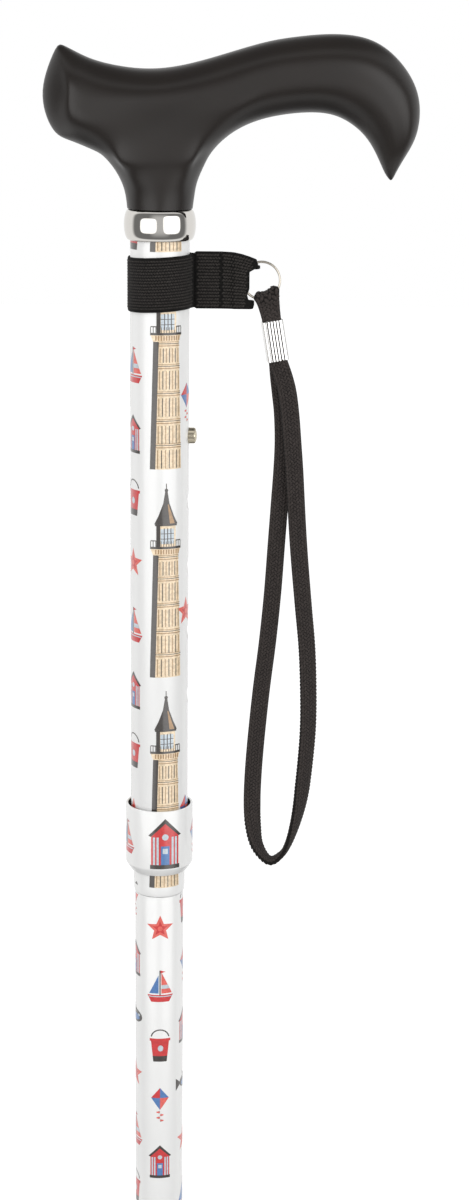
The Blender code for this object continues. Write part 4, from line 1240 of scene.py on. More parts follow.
def handle_cage(horn):
    """The handle's coarse cage, fitted so that its smooth surface passes through the points."""
    bm = bmesh.new()
    crease = bm.edges.layers.float.new("crease_edge")
    neck_from, neck_to = NECK_STATIONS
    rings = []
    for number, (top, bottom, half_width) in enumerate(ARM):
        over_neck = neck_from < number < neck_to
        beside_neck = number in NECK_STATIONS
        low_wide = OVER_NECK if over_neck else BESIDE_NECK if beside_neck else LOW_FLANK
        wrap = 0.0 if number else BUTT_WRAP
        ring = [bm.verts.new(p) for p in arm_ring(top, bottom, half_width, wrap, low_wide)]
        if over_neck:
            bm.verts.remove(ring[4])
            ring[4] = None
        rings.append(ring)
    for number, (a, b) in enumerate(zip(rings, rings[1:])):
        for k in range(8):
            if not (neck_from <= number < neck_to and k in (3, 4)):
                bm.faces.new((a[k], a[(k + 1) % 8], b[(k + 1) % 8], b[k]))
    for ring, middle in ((rings[0], BUTT_MIDDLE), (rings[-1], BEAK_TIP)):
        centre = bm.verts.new(Vector((middle[0], 0.0, middle[1])) * MM)
        for k in range(0, 8, 2):
            bm.faces.new((centre, ring[k], ring[k + 1], ring[(k + 2) % 8]))
    first, last = rings[neck_from], rings[neck_to]
    back, front = ([r[k] for r in rings[neck_from + 1 : neck_to]] for k in (5, 3))
    seam = [first[4], first[5], *back, last[5], last[4], last[3], *front[::-1], first[3]]
    neck = [seam, *([bm.verts.new(p) for p in neck_ring(*level)] for level in NECK)]
    skin(bm, neck)
    end = bm.faces.new(neck[-1])
    rim = set(end.edges)
    bmesh.ops.recalc_face_normals(bm, faces=bm.faces)
    for edge in rim:
        edge[crease] = 1.0
    for k in (1, 7):
        bm.edges.get((rings[0][0], rings[0][k]))[crease] = horn
    goal = {v: v.co.copy() for v in bm.verts}
    for _ in range(CAGE_ROUNDS):
        miss = {v: goal[v] - limit_point(v, rim) for v in bm.verts}
        for v, step in miss.items():
            v.co += step
    return bm


class STICK_OT_handle(bpy.types.Operator):
    """Moulded satin black derby handle with its neck and the bore for the stud"""

    bl_idname = "stick.handle"
    bl_label = "Handle"

    def execute(self, context):
        settings = context.scene.stick_handle
        maker = making("handle_form", to_mesh(handle_cage(settings.horn), "handle_form", 180))
        modifier(maker, "SUBSURF", levels=settings.smoothing, render_levels=settings.smoothing)
        radius = STUD_RADIUS + CLEARANCE
        top, bottom = STUD_TOP + CLEARANCE, NECK_BOTTOM - 5 * MM
        drill = making("bore", lathe(
            "bore", [(0, top), (radius, top), (radius, bottom), (0, bottom)], 32
        ))
        modifier(maker, "BOOLEAN", operation="DIFFERENCE", object=drill, solver="EXACT")
        mesh = shaded(baked(maker), 40)
        bpy.data.objects.remove(drill, do_unlink=True)
        piece("handle", mesh, satin_moulding(settings), "top_section", "handle_black",
              "derby_handle")
        return {"FINISHED"}


# Tubes


class StickTubeSettings(bpy.types.PropertyGroup):
    white: colour_prop("White", "#eeeeed", "Colour of the lacquered tubes")
    edge: length_prop("Edge", 0.35, "Rounding of the tubes' ends")
    steps: count_prop("Steps", 96, "Flats round a turned tube")


def tube_mesh(settings, radius, bore, top, bottom):
    """A plain tube with rounded ends."""
    ends = [(radius, top), (radius, bottom), (bore, bottom), (bore, top)]
    return lathe("tube", rounded(ends, settings.edge), settings.steps)


class STICK_OT_tubes(bpy.types.Operator):
    """White lacquered tubes: the upper one with its row of holes, the inner one and three
    lower sections"""

    bl_idname = "stick.tubes"
    bl_label = "Tubes"

    def execute(self, context):
        settings = context.scene.stick_tubes
        lacquer = white_lacquer(settings)
        upper = tube_mesh(settings, TUBE_RADIUS, TUBE_BORE, TUBE_HIGH.z, TUBE_LOW.z)
        top, bottom = INNER_HIGH.z, INNER_LOW.z
        chamfer_in, chamfer_down = INNER_CHAMFER
        inward, height = INNER_LIP
        lip = [
            (INNER_RADIUS - inward * (1 - math.cos(turn)), bottom + height * (1 - math.sin(turn)))
            for turn in (math.pi / 2 * k / 8 for k in range(9))
        ]
        inner = lathe("inner", [
            (INNER_RADIUS - chamfer_in, top), (INNER_RADIUS, top - chamfer_down), *lip,
            (INNER_BORE, bottom), (INNER_BORE, top),
        ], settings.steps)
        for name, mesh, radius, count, body, part in (
            ("upper_tube", upper, TUBE_RADIUS, HOLE_COUNT, "top_section", "outer_tube"),
            ("sliding_tube", inner, INNER_RADIUS, 1, "inner_tube", "inner_tube"),
        ):
            bored = grown(
                hole_tree(), mesh, Count=count, First=(radius, 0.0, BUTTON_Z),
                Step=(0.0, 0.0, -HOLE_PITCH), Radius=HOLE_RADIUS, Reach=0.9 * radius,
                Finish=lacquer,
            )
            piece(name, shaded(bored), lacquer, body, "printed_white", part)
        for number, (top, bottom) in SECTIONS.items():
            mesh = tube_mesh(settings, SECTION_RADIUS, SECTION_BORE, top, bottom)
            piece(f"section_{number}_tube", mesh, lacquer, f"section_{number}", "printed_white",
                  f"section_tube_{number}")
        self.locking_ring(lacquer)
        return {"FINISHED"}

    def locking_ring(self, lacquer):
        """The screw ring: its skirt stands clear of the tube, and its foot narrows."""
        top, bottom = RING_HIGH.z, RING_LOW.z
        straight = bottom + RING_CHAMFER
        bore = TUBE_RADIUS + CLEARANCE
        lip_bore = INNER_RADIUS + 1.5 * CLEARANCE
        skirt = top - RING_SKIRT
        corners = [
            (RING_RADIUS, top), (RING_RADIUS, straight), (lip_bore + RING_FOOT, bottom),
            (lip_bore, bottom), (lip_bore, straight), (bore, straight), (bore, skirt - RING_STEP),
            (RING_SKIRT_BORE, skirt), (RING_SKIRT_BORE, top),
        ]
        mesh = lathe("lock_ring", rounded(corners, RING_ROUNDING), 128)
        ring = piece("lock_ring", mesh, lacquer, "locking_ring", "printed_white", "locking_ring")
        # The faces inside the ring above its chamfer take painted shade, nearly black
        ring.data.materials.append(painted_bore_shade())
        for face in ring.data.polygons:
            inside = face.center.xy.length < RING_SKIRT_BORE + 0.05 * MM
            face.material_index = int(inside and face.center.z > straight)


# Print


class StickPrintSettings(bpy.types.PropertyGroup):
    stone: colour_prop("Stone", "#e9d3b3", "Sandstone of the lighthouses")
    course: colour_prop("Courses", "#a98660", "Courses and windows in the stone")
    slate: colour_prop("Slate", "#3b3633", "Roofs, shaded sides and dark parts")
    red: colour_prop("Red", "#cb3638", "Boats, buckets and huts")
    coral: colour_prop("Coral", "#e2665c", "Stars and stripes")
    blue: colour_prop("Blue", "#4f7ab2", "Kites, fish and doors")
    glass: colour_prop("Pale blue", "#c3ced6", "Panes and sails")
    film: length_prop("Film", 0.03, "How far the print stands on the lacquer")
    tower_pitch: length_prop("Lighthouse pitch", 81.0, "Distance from one lighthouse to the next")
    small_pitch: length_prop("Small pitch", 25.0, "Distance between the small motifs")


# The inks, with how far their tone breaks up
INKS = {
    "stone": 0.16, "course": 0.16, "slate": 0.16, "red": 0.1, "coral": 0.1, "blue": 0.1,
    "glass": 0.1,
}


def block(ink, layer, left, low, right, high):
    return ink, layer, [(left, low), (right, low), (right, high), (left, high)]


def disc(ink, layer, x, z, wide, high, count=16):
    turns = (2 * math.pi * k / count for k in range(count))
    return ink, layer, [(x + wide * math.cos(t), z + high * math.sin(t)) for t in turns]


def lighthouse():
    """A tall stone lighthouse with a shaded flank, string courses, rows of slit windows, a
    corbelled gallery, a lantern and a steep slate roof."""
    foot, neck = -37.0, 11.0

    def half(z):
        return 6.3 - 1.3 * (z - foot) / (neck - foot)

    def flank(z):
        return 2.1 - half(z)

    shapes = [
        ("stone", 0, [(-half(foot), foot), (half(foot), foot), (half(neck), neck),
                      (-half(neck), neck)]),
        ("slate", 1, [(-half(foot), foot), (flank(foot), foot), (flank(neck), neck),
                      (-half(neck), neck)]),
        ("stone", 1, [(-5.0, neck), (5.0, neck), (6.0, 13.4), (-6.0, 13.4)]),
        block("slate", 2, -6.2, 13.4, 6.2, 14.3), block("slate", 1, -6.0, 16.4, 6.0, 16.8),
        block("stone", 1, -3.8, 14.3, 3.8, 22.6), block("slate", 2, -3.8, 14.3, -2.3, 22.6),
        block("glass", 2, -2.2, 15.4, 3.1, 21.2), block("slate", 3, -4.3, 22.3, 4.3, 23.0),
        ("slate", 2, [(-4.6, 23.0), (4.6, 23.0), (3.0, 26.2), (1.2, 31.0), (0.45, 35.6),
                      (-0.45, 35.6), (-1.2, 31.0), (-3.0, 26.2)]),
        ("course", 3, [(1.4, 23.2), (3.4, 23.2), (2.3, 26.2), (0.9, 30.6), (0.5, 30.6)]),
        disc("slate", 2, 0.0, 36.0, 0.7, 0.7, 10), block("slate", 2, -0.16, 36.4, 0.16, 38.6),
    ]
    shapes += [block("slate", 3, x - 0.18, 15.2, x + 0.18, 21.4) for x in (-0.8, 0.5, 1.8)]
    shapes += [block("slate", 3, -2.2, z, 3.1, z + 0.25) for z in (17.2, 19.2)]
    shapes += [block("slate", 2, x - 0.13, 14.3, x + 0.13, 16.4) for x in range(-6, 7)]
    shapes += [block("course", 2, x - 0.28, 11.4, x + 0.28, 13.2) for x in range(-4, 6)]
    for low in (foot + 0.4, -27.4, -17.0, -6.8, 3.2):
        left, right, top = flank(low) + 0.1, half(low), low + (7.2 if low < 3 else 5.6)
        shapes += [block("course", 2, left, top + 0.5, right, top + 0.85),
                   block("slate", 2, left, top + 1.35, right, top + 1.6),
                   block("course", 2, left, top + 2.0, right, top + 2.25)]
        step = (right - left) / 7
        for k in range(7):
            x = left + (k + 0.5) * step
            dark = "slate" if k in (1, 3, 5) else "course"
            shapes.append(block(dark, 3, x - 0.16, low, x + 0.16, top - 0.3))
    return shapes


def sailing_boat():
    return [
        ("red", 0, [(-5.2, -3.0), (5.4, -3.0), (3.7, -6.0), (-3.6, -6.0)]),
        block("glass", 1, -4.6, -3.9, 4.8, -3.5), block("slate", 1, -0.25, -3.0, 0.2, 7.4),
        ("coral", 0, [(0.5, -2.4), (4.9, -2.4), (0.5, 6.6)]),
        ("glass", 1, [(0.5, -0.4), (3.9, -0.4), (3.1, 1.2), (0.5, 1.2)]),
        ("blue", 0, [(-0.6, -2.4), (-0.6, 5.4), (-4.4, -2.4)]),
        ("red", 0, [(0.2, 7.4), (0.2, 6.2), (2.2, 6.8)]),
    ]


def beach_hut(scale=1.0):
    """A striped beach hut with a dark base, a blue door and a slate roof."""
    shapes = [
        block("red", 0, -3.9, -6.6, 3.9, 2.6), ("red", 0, [(-3.9, 2.6), (3.9, 2.6), (0.0, 5.8)]),
        ("slate", 2, [(-4.7, 2.0), (-4.0, 1.7), (0.0, 5.5), (4.0, 1.7), (4.7, 2.0), (0.0, 6.9)]),
        block("slate", 1, -4.2, -7.6, 4.2, -6.4), block("blue", 2, -1.2, -6.4, 1.2, -1.0),
        block("glass", 3, -0.7, -3.2, 0.7, -1.7), disc("glass", 2, 0.0, 1.6, 0.9, 0.9),
    ]
    shapes += [block("glass", 1, x - 0.3, -6.4, x + 0.3, 1.6) for x in (-3.1, -2.1, 2.1, 3.1)]
    return [(ink, layer, [(x * scale, z * scale) for x, z in points])
            for ink, layer, points in shapes]


def starfish():
    points = []
    for k in range(10):
        turn = math.radians(90 + 36 * k)
        reach = 5.6 if k % 2 == 0 else 2.5
        points.append((reach * math.cos(turn), reach * math.sin(turn)))
    inner = [(0.55 * x, 0.55 * z) for x, z in points]
    return [("coral", 0, points), ("red", 1, inner), disc("coral", 2, 0.0, 0.0, 1.0, 1.0)]


def bucket():
    shapes = [
        ("red", 0, [(-2.7, -6.6), (2.7, -6.6), (3.7, 2.4), (-3.7, 2.4)]),
        ("slate", 1, [(-2.7, -6.6), (2.7, -6.6), (2.95, -4.2), (-2.95, -4.2)]),
        block("red", 1, -4.2, 2.2, 4.2, 3.3), disc("glass", 1, 0.2, -0.9, 1.1, 1.3),
    ]
    arc = [math.radians(12 + 156 * k / 10) for k in range(11)]
    outer = [(3.9 * math.cos(t), 3.3 + 4.0 * math.sin(t)) for t in arc]
    inner = [(3.4 * math.cos(t), 3.3 + 3.5 * math.sin(t)) for t in arc]
    shapes.append(("slate", 0, outer + inner[::-1]))
    return shapes


def fish():
    return [
        disc("slate", 0, 0.8, 0.0, 4.6, 2.7),
        ("slate", 0, [(-3.0, 0.0), (-6.2, 2.6), (-6.2, -2.6)]),
        disc("blue", 1, 0.6, -0.5, 3.2, 1.4), disc("glass", 1, 3.4, 0.7, 0.6, 0.6, 10),
        ("slate", 0, [(-0.8, 2.2), (2.4, 2.2), (-1.4, 4.4)]),
    ]


def kite():
    shapes = [
        ("blue", 0, [(0.0, -2.6), (3.6, 2.6), (0.0, 7.0), (-3.6, 2.6)]),
        ("coral", 1, [(0.0, -2.6), (3.6, 2.6), (0.0, 2.6)]),
        ("red", 1, [(-3.6, 2.6), (0.0, 2.6), (0.0, 7.0)]),
    ]
    for k in range(4):
        x, z = (0.7 if k % 2 else -0.7), -3.6 - 1.2 * k
        shapes += [disc("slate", 0, x / 2, z, 0.2, 0.7, 8), disc("coral", 1, x, z, 0.8, 0.4, 8)]
    return shapes


MOTIFS = {
    "a_lighthouse": lighthouse, "b_boat": sailing_boat, "c_bucket": bucket, "d_fish": fish,
    "e_hut": beach_hut, "f_kite": kite, "g_large_hut": lambda: beach_hut(1.42),
    "h_starfish": starfish,
}
SMALL = ("h_starfish", "b_boat", "c_bucket", "f_kite", "e_hut", "d_fish")
# How far the tallest motif reaches from its middle, and the inner tube's end without print
MOTIF_REACH = 40 * MM
INNER_PLAIN = 3.2 * MM


def sliced(bm, place, way, **settings):
    """Cuts every face at a plane."""
    bmesh.ops.bisect_plane(
        bm, geom=[*bm.verts, *bm.edges, *bm.faces], plane_co=place, plane_no=way, **settings
    )


def motif_mesh(name, shapes):
    """Flat shapes made a mesh that is cut fine enough to bend round a tube. The front is -Y, and
    each layer stands a hair in front of the one below."""
    bm = bmesh.new()
    ink_layer = bm.faces.layers.int.new("ink")
    for ink, layer, points in shapes:
        corners = [bm.verts.new((x * MM, -layer * INK_LAYER, z * MM)) for x, z in points]
        face = bm.faces.new(corners)
        face[ink_layer] = list(INKS).index(ink)
        face.normal_update()
        if face.normal.y > 0:
            face.normal_flip()
    for x in range(-7, 8):
        sliced(bm, (x * MM, 0, 0), (1, 0, 0))
    bmesh.ops.triangulate(bm, faces=[f for f in bm.faces if len(f.verts) > 4])
    return to_mesh(bm, name)


class STICK_OT_print(bpy.types.Operator):
    """Seaside print round the tubes and the locking ring"""

    bl_idname = "stick.print"
    bl_label = "Print"

    def execute(self, context):
        settings = context.scene.stick_print
        inks = [
            printed_ink(f"printed_{ink}", getattr(settings, ink), spread)
            for ink, spread in INKS.items()
        ]
        home = bpy.data.collections.new("motifs")
        context.scene.collection.children.link(home)
        for name, draw in MOTIFS.items():
            home.objects.link(bpy.data.objects.new(name, motif_mesh(name, draw())))
        tree = print_tree(inks)
        towers, small = settings.tower_pitch, settings.small_pitch
        tower = ("a_lighthouse",)
        # Columns of motifs: the angle from the front in degrees, the first one's drop in
        # millimetres, the pitch and the names
        upper = [
            (15, -24, towers, tower), (-118, -46, towers, tower), (146, -2, towers, tower),
            (-62, 6, small, ("c_bucket", "h_starfish", "b_boat", "e_hut")),
            (-168, 12, small, ("f_kite", "b_boat", "h_starfish", "c_bucket")),
            (66, -12, towers, ("h_starfish", "f_kite")),
        ]
        lower = [
            (angle, first, small, SMALL[start:] + SMALL[:start])
            for angle, first, start in ((4, 13, 0), (-76, 2, 3), (84, 6, 2), (166, 17, 4))
        ]
        ring = [
            (12, 12.6, towers, ("g_large_hut",)), (84, 13, towers, ("f_kite",)),
            (-70, 13, towers, ("b_boat",)), (-150, 13, towers, ("h_starfish",)),
        ]
        tubes = [
            ("upper_tube", TUBE_RADIUS, TUBE_HIGH.z, TUBE_LOW.z, "top_section", upper, 0),
            ("lock_ring", RING_RADIUS, RING_HIGH.z, RING_LOW.z + RING_CHAMFER, "locking_ring",
             ring, 0),
            ("sliding_tube", INNER_RADIUS, INNER_HIGH.z, INNER_LOW.z + INNER_PLAIN, "inner_tube",
             upper, 23),
        ]
        for number, (top, bottom) in SECTIONS.items():
            name = f"section_{number}"
            tubes.append((name, SECTION_RADIUS, top, bottom, name, lower, 4 * (number - 1)))
        for name, radius, top, bottom, body, columns, shift in tubes:
            places = self.places(radius, top, bottom, columns, shift)
            mesh = grown(tree, places, Motifs=home, Radius=radius, Film=settings.film)
            bm = bmesh.new()
            bm.from_mesh(mesh)
            for height, way in ((top - PRINT_MARGIN, 1), (bottom + PRINT_MARGIN, -1)):
                sliced(bm, (0, 0, height), (0, 0, way), clear_outer=True)
            bm.to_mesh(mesh)
            bm.free()
            piece(f"{name}_print", mesh, None, body, "printed_white")
        for motif in list(home.objects):
            bpy.data.objects.remove(motif, do_unlink=True)
        bpy.data.collections.remove(home)
        return {"FINISHED"}

    def places(self, radius, top, bottom, columns, shift):
        """Points for one tube's motifs, in columns of (angle, first drop, pitch, names). The
        first drop and the shift of all columns are in millimetres."""
        order = list(MOTIFS)
        places, motifs = [], []
        for angle, first, pitch, names in columns:
            start = top - (first + shift) * MM
            for number in range(math.ceil((start - bottom + MOTIF_REACH) / pitch)):
                places.append((radius * math.radians(angle), 0.0, start - number * pitch))
                motifs.append(order.index(names[number % len(names)]))
        points = bpy.data.meshes.new("places")
        points.from_pydata(places, [], [])
        layer = points.attributes.new("motif", "INT", "POINT")
        layer.data.foreach_set("value", motifs)
        return points


# Strap


class StickStrapSettings(bpy.types.PropertyGroup):
    ground: colour_prop("Ground", "#0f0e0d", "Colour deep between the ribs")
    thread: colour_prop("Thread", "#312e2c", "Colour of the elastic's threads")
    ribs: count_prop("Ribs", 17, "Ribs across the elastic")
    pitch: length_prop("Pitch", 1.05, "Distance between threads along a rib")


def band_strip():
    """The loop round the tube, with both ends turned out towards +X."""
    beside = (BAND_THICKNESS + CLEARANCE) / 2
    start = math.asin(beside / BAND_RADIUS)
    reach = BAND_RADIUS + BAND_THICKNESS / 2 + BAND_LIP
    turns = np.linspace(start, 2 * math.pi - start, 96)
    lip = [(reach, beside), (reach - BAND_LIP / 2, beside)]
    path = lip + [(BAND_RADIUS * math.cos(t), BAND_RADIUS * math.sin(t)) for t in turns[2:-2]]
    path += [(x, -y) for x, y in lip[::-1]]
    lines = [
        np.array([(x, y, z + BAND_TILT * x) for x, y in path])
        for z in (BAND_BOTTOM, (BAND_TOP + BAND_BOTTOM) / 2, BAND_TOP)
    ]
    return Strip(*lines, BAND_THICKNESS, 24.0)


def tab_columns(last, tip):
    """The tab's front layer seen from above, as (x, y) from the band's side to the fold."""
    pocket = TAB_START + TAB_POCKET
    eased = TAB_BESIDE + (TAB_BULGE - TAB_BESIDE) / 3
    columns = [
        (TAB_CREASE, 0.75 * TAB_BESIDE), (TAB_START, TAB_BESIDE), (SEAM_X, TAB_BESIDE),
        (pocket - TAB_EASE, eased), (pocket, TAB_BULGE), ((pocket + last) / 2, TAB_BULGE),
        (last, TAB_BULGE),
    ]
    centre = tip - ELASTIC_THICKNESS / 2 - TAB_BULGE
    for turn in (math.radians(degrees) for degrees in (0, 25, 48, 90)):
        columns.append((centre + TAB_BULGE * math.sin(turn), TAB_BULGE * math.cos(turn)))
    return columns


def tab_edge(x):
    """The height of the tab's upper edge, which droops beyond the seam."""
    droop = max(0.0, (x - SEAM_X) / (TAB_LENGTH - TAB_SEAM))
    return TAB_TOP - TAB_DROOP * droop**2


def tab_mesh():
    """The doubled tab: two layers from the band to a fold that holds the ring, with a notch that
    leaves an upper and a lower horn. It is a grid of eight levels, with the notch left out."""
    notch_top = TAB_TOP - NOTCH_TOP
    notch_bottom = TAB_BOTTOM + NOTCH_BOTTOM
    third = (notch_top - notch_bottom) / 3
    # The columns from which the notch is cut out, and the fold is left open for the ring's wire
    notch_from, open_from = 6, 9
    fold_x = TAB_END - ELASTIC_THICKNESS / 2 - TAB_BULGE
    ring_rise = math.sqrt(SPLIT_RADIUS**2 - (SPLIT_CENTRE.x - fold_x) ** 2)
    upper_horn = SPLIT_CENTRE.z + ring_rise - WIRE_RADIUS - 1.3 * CLEARANCE
    grid = []
    for level in range(8):
        shorter = TAB_LOWER_HORN if level < 3 else 0.0
        tip = TAB_END - shorter - HORN_CORNERS.get(level, 0.0)
        row = []
        for number, (x, y) in enumerate(tab_columns(NOTCH_X - shorter / 2.5, tip)):
            gather = 0.0 if number else TAB_GATHER
            low, high = TAB_BOTTOM + gather, tab_edge(x) - gather
            beyond = number > notch_from
            under = TAB_BOTTOM + HORN_HEIGHT if beyond else notch_bottom
            over = upper_horn if beyond else (notch_top + high) / 2
            z = (low, (low + under) / 2, under, notch_bottom + third, notch_top - third,
                 notch_top, over, high)[level]
            if number == notch_from:
                z += {2: NOTCH_ROUNDING, 5: -NOTCH_ROUNDING}.get(level, 0.0)
            row.append(Vector((x, y, z)))
        grid.append(row + [Vector((p.x, -p.y, p.z)) for p in row[-2::-1]])
    columns = len(grid[0]) - 1
    left_out = {(r, c) for r in (2, 3, 4) for c in range(notch_from, columns - notch_from)}
    left_out |= {(6, c) for c in range(open_from, columns - open_from)}
    bm = bmesh.new()
    grid = [[bm.verts.new(p) for p in row] for row in grid]
    for r, (a, b) in enumerate(zip(grid, grid[1:])):
        for c in range(columns):
            if (r, c) not in left_out:
                bm.faces.new((a[c], a[c + 1], b[c + 1], b[c]))
    bmesh.ops.delete(bm, geom=[v for v in bm.verts if not v.link_faces], context="VERTS")
    maker = making("tab_form", to_mesh(bm, "tab_form", 60))
    modifier(maker, "SOLIDIFY", thickness=ELASTIC_THICKNESS, offset=0.0, use_even_offset=True)
    modifier(maker, "BEVEL", width=0.28 * MM, segments=3, limit_method="ANGLE",
             angle_limit=math.radians(50))
    return shaded(baked(maker), 60)


def on_both_sides(x, y, z, run, rise, lean):
    """One thread on each side of the tab as (place, along, out)."""
    return [
        (np.array((x, side * y, z)), np.array((run, 0.0, rise + side * lean)),
         np.array((0.0, side, 0.0)))
        for side in (-1, 1)
    ]


def tab_threads(settings):
    """Threads on both sides of the tab in straight ribs, clear of its edges, notch and seam."""
    outline = tab_columns(NOTCH_X, TAB_END)[:8]
    margin = 0.6 * MM
    seam_margin = 0.7 * MM
    band_margin = 0.5 * MM
    notch_margin = 0.9 * MM
    horn_margin = 1.2 * MM
    tip_margin = 3.0 * MM
    lower_tip_margin = tip_margin + TAB_LOWER_HORN + 0.4 * MM
    lean = 0.42
    bottom = TAB_BOTTOM + margin
    made = []
    for rib in range(settings.ribs):
        odd = rib % 2
        share = (rib + 0.5) / settings.ribs
        for number in range(int(TAB_LENGTH / settings.pitch)):
            x = TAB_START + (number + 0.6 + 0.5 * odd) * settings.pitch
            z = bottom + share * (tab_edge(x) - margin - bottom)
            low = z < TAB_BOTTOM + NOTCH_BOTTOM
            in_notch = x > NOTCH_X - notch_margin and not low and z < TAB_TOP - NOTCH_TOP
            by_horn = x > NOTCH_X - horn_margin and low and z > TAB_BOTTOM + NOTCH_BOTTOM / 2
            by_seam = abs(x - SEAM_X) < seam_margin or x < TAB_START + band_margin
            by_tip = x > TAB_END - (lower_tip_margin if low else tip_margin)
            if not (in_notch or by_horn or by_seam or by_tip):
                y = float(np.interp(x, *zip(*outline))) + 0.48 * ELASTIC_THICKNESS
                made += on_both_sides(x, y, z, 1.0, 0.0, lean if odd else -lean)
    return made


def seam_threads():
    """Rows of stitches up the tab on both sides: two at the seam, and one beside the band."""
    made = []
    beside = TAB_BESIDE + 0.475 * ELASTIC_THICKNESS
    for x, drop in ((SEAM_X - 0.5 * MM, 0.9 * MM), (SEAM_X + 0.5 * MM, 1.2 * MM),
                    (TAB_START - 0.2 * MM, 1.3 * MM)):
        for z in np.arange(TAB_BOTTOM + drop, TAB_TOP - 0.8 * MM, STITCH_PITCH):
            made += on_both_sides(x, beside, z, 0.08, 1.0, 0.0)
    return made


class STICK_OT_strap(bpy.types.Operator):
    """Woven elastic band round the tube, and its doubled tab with ribs and stitched seam"""

    bl_idname = "stick.strap"
    bl_label = "Strap"

    def execute(self, context):
        settings = context.scene.stick_strap
        ground = woven_black("elastic_ground", settings.ground, 0.5 * MM)
        thread = woven_black("elastic_thread", settings.thread, 0.35 * MM)
        sewing = woven_black("sewing_thread", toned(settings.ground, 0.8), 0.3 * MM)
        strip = band_strip()
        band = strip.body("band", 13)
        band.materials.append(ground)
        places = strip.threads(settings.pitch, settings.ribs, BAND_LEAN, (1,), BAND_MARGIN)
        threads = thread_mesh(places, BAND_THREAD, thread)
        piece("elastic_band", joined([band, threads], "elastic_band"), None, "strap",
              "elastic_black", "strap_band")
        tab = tab_mesh()
        tab.materials.append(ground)
        ribs = thread_mesh(tab_threads(settings), TAB_THREAD, thread)
        seams = thread_mesh(seam_threads(), SEWING_THREAD, sewing)
        piece("elastic_tab", joined([tab, ribs, seams], "elastic_tab"), None, "strap",
              "elastic_black", "strap_tab")
        return {"FINISHED"}


# Foot and inner parts


class StickFootSettings(bpy.types.PropertyGroup):
    rubber: colour_prop("Rubber", "#1b1a1a", "Colour of the ferrule's rubber")
    ribs: count_prop("Grip rings", 6, "Fine rings moulded round the ferrule's waist")


class STICK_OT_foot(bpy.types.Operator):
    """Moulded rubber ferrule with grip rings and a grooved sole"""

    bl_idname = "stick.foot"
    bl_label = "Foot"

    def execute(self, context):
        settings = context.scene.stick_foot
        low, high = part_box("rubber_ferrule")
        socket = SECTION_RADIUS + CLEARANCE
        upper = socket + FERRULE_WALL
        foot = high.x
        sole_edge = 1.2 * MM
        sole = foot - sole_edge
        floor = low.z + FERRULE_FLOOR

        def swell(*points):
            """Points as millimetres beyond the upper part and shares of the height."""
            return [(upper + out * MM, low.z + share * (high.z - low.z)) for out, share in points]

        profile = [
            (0, floor), (socket, floor), (socket, high.z), (upper - 0.8 * MM, high.z),
            (upper - 0.2 * MM, high.z - 0.25 * MM), (upper, high.z - 0.8 * MM),
            *swell((0.0, 0.87), (0.7, 0.848)),
        ]
        ring_top, ring_bottom = 0.82, 0.5
        ring_height = 0.6
        pitch = (ring_top - ring_bottom) / settings.ribs
        for k in range(settings.ribs):
            share = ring_top - k * pitch
            wide = 0.75 + 0.4 * k / settings.ribs
            narrow = wide - ring_height
            profile += swell((wide, share), (narrow, share - 0.2 * pitch),
                             (narrow, share - 0.5 * pitch), (wide, share - 0.7 * pitch))
        profile += swell((1.2, 0.478), (0.4, 0.446), (0.45, 0.41), (0.7, 0.38), (1.9, 0.3),
                         (3.4, 0.22))
        flare = foot - upper
        profile += swell((flare / MM - 0.6, 0.163), (flare / MM, 0.13))
        profile += [(foot, low.z + sole_edge), (foot - sole_edge / 3, low.z + sole_edge / 3),
                    (sole, low.z)]
        ridge = sole / 6
        groove = low.z + 1.0 * MM
        for k in (1, 3):
            outer = sole - k * ridge
            profile += [(outer, low.z), (outer, groove), (outer - ridge, groove),
                        (outer - ridge, low.z)]
        profile.append((0, low.z))
        piece("ferrule", lathe("ferrule", profile, 96, 50), moulded_rubber(settings), "section_3",
              "ferrule_rubber", "rubber_ferrule")
        return {"FINISHED"}


class STICK_OT_button(bpy.types.Operator):
    """The snap button's bent spring clip, copied from its CAD node in plated spring steel"""

    bl_idname = "stick.button"
    bl_label = "Button"

    def execute(self, context):
        solid = frame["nodes"]["snap_button_clip"]
        mesh = solid.data.copy()
        mesh.transform(solid.matrix_world)
        clip = piece("button_clip", shaded(mesh), spring_steel(), None, "steel",
                     "snap_button_clip")
        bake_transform(clip)
        return {"FINISHED"}


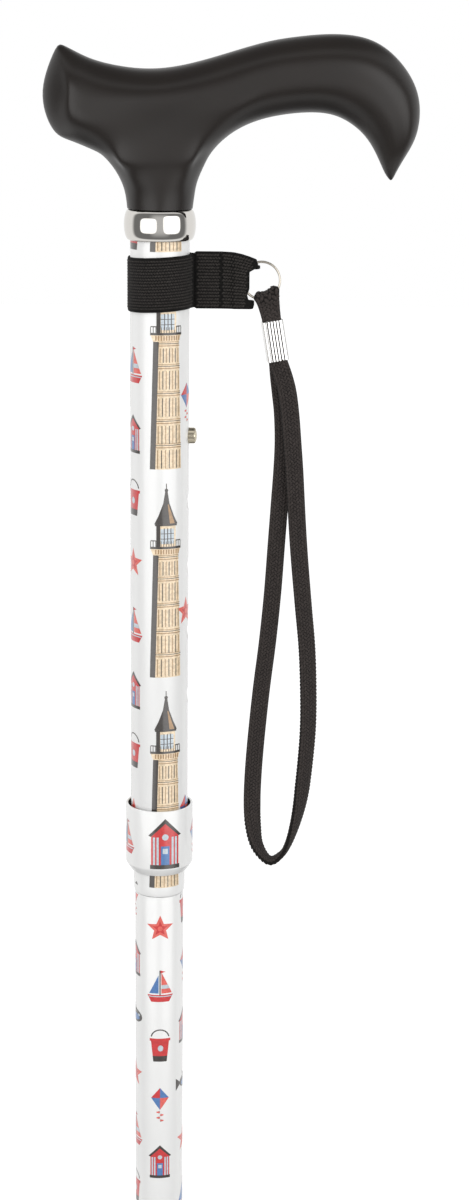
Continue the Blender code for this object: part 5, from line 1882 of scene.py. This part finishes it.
class STICK_OT_inner_parts(bpy.types.Operator):
    """Finishes of the parts that keep their CAD shape: pins, plugs, sleeves and inner cord"""

    bl_idname = "stick.inner_parts"
    bl_label = "Inner parts"

    def execute(self, context):
        nylon, steel, aluminium = natural_nylon(), bright_steel(), drawn_aluminium()
        finishes = {
            steel: ("handle_stud", "tube_plug_pin", "ferrule_washer"),
            nylon: ("tube_top_plug", "locking_olive", "guide_bush", "cord_anchor_top",
                    "cord_anchor_bottom"),
            aluminium: ("joint_sleeve_1", "joint_sleeve_2", "joint_sleeve_3", "cord_stop_top",
                        "cord_stop_bottom"),
            woven_black("shock_cord_cover", linear("#1c1b1a"), 0.6 * MM): ("shock_cord",),
        }
        for material, names in finishes.items():
            for name in names:
                mesh = frame["nodes"][name].data
                for number in range(len(mesh.materials)):
                    mesh.materials[number] = material
        return {"FINISHED"}


SETTINGS = {
    "stick_studio": StickStudioSettings, "stick_cord": StickCordSettings,
    "stick_metal": StickMetalSettings, "stick_handle": StickHandleSettings,
    "stick_tubes": StickTubeSettings, "stick_print": StickPrintSettings,
    "stick_strap": StickStrapSettings, "stick_foot": StickFootSettings,
}
OPERATORS = (
    STICK_OT_studio, STICK_OT_crimp, STICK_OT_wrist_loop, STICK_OT_split_ring, STICK_OT_handle,
    STICK_OT_collar, STICK_OT_tubes, STICK_OT_print, STICK_OT_button, STICK_OT_strap,
    STICK_OT_foot, STICK_OT_inner_parts,
)


class STICK_PT_parts(bpy.types.Panel):
    """Lists the stick's pieces and their settings"""

    bl_idname = "STICK_PT_parts"
    bl_label = "Walking stick"
    bl_space_type = "VIEW_3D"
    bl_region_type = "UI"
    bl_category = "Stick"

    def draw(self, context):
        for operator in OPERATORS:
            self.layout.operator(operator.bl_idname)
        for name, group in SETTINGS.items():
            box = self.layout.box()
            box.label(text=name.replace("stick_", "").capitalize())
            for prop in group.__annotations__:
                box.prop(getattr(context.scene, name), prop)


def register():
    for group in SETTINGS.values():
        bpy.utils.register_class(group)
    for name, group in SETTINGS.items():
        setattr(bpy.types.Scene, name, bpy.props.PointerProperty(type=group))
    for operator in OPERATORS:
        bpy.utils.register_class(operator)
    bpy.utils.register_class(STICK_PT_parts)


def unregister():
    bpy.utils.unregister_class(STICK_PT_parts)
    for operator in reversed(OPERATORS):
        bpy.utils.unregister_class(operator)
    for name in SETTINGS:
        delattr(bpy.types.Scene, name)
    for group in reversed(SETTINGS.values()):
        bpy.utils.unregister_class(group)


def main():
    register()
    for operator in OPERATORS:
        group, name = operator.bl_idname.split(".")
        getattr(getattr(bpy.ops, group), name)()
    bpy.context.view_layer.update()


if __name__ == "__main__":
    main()
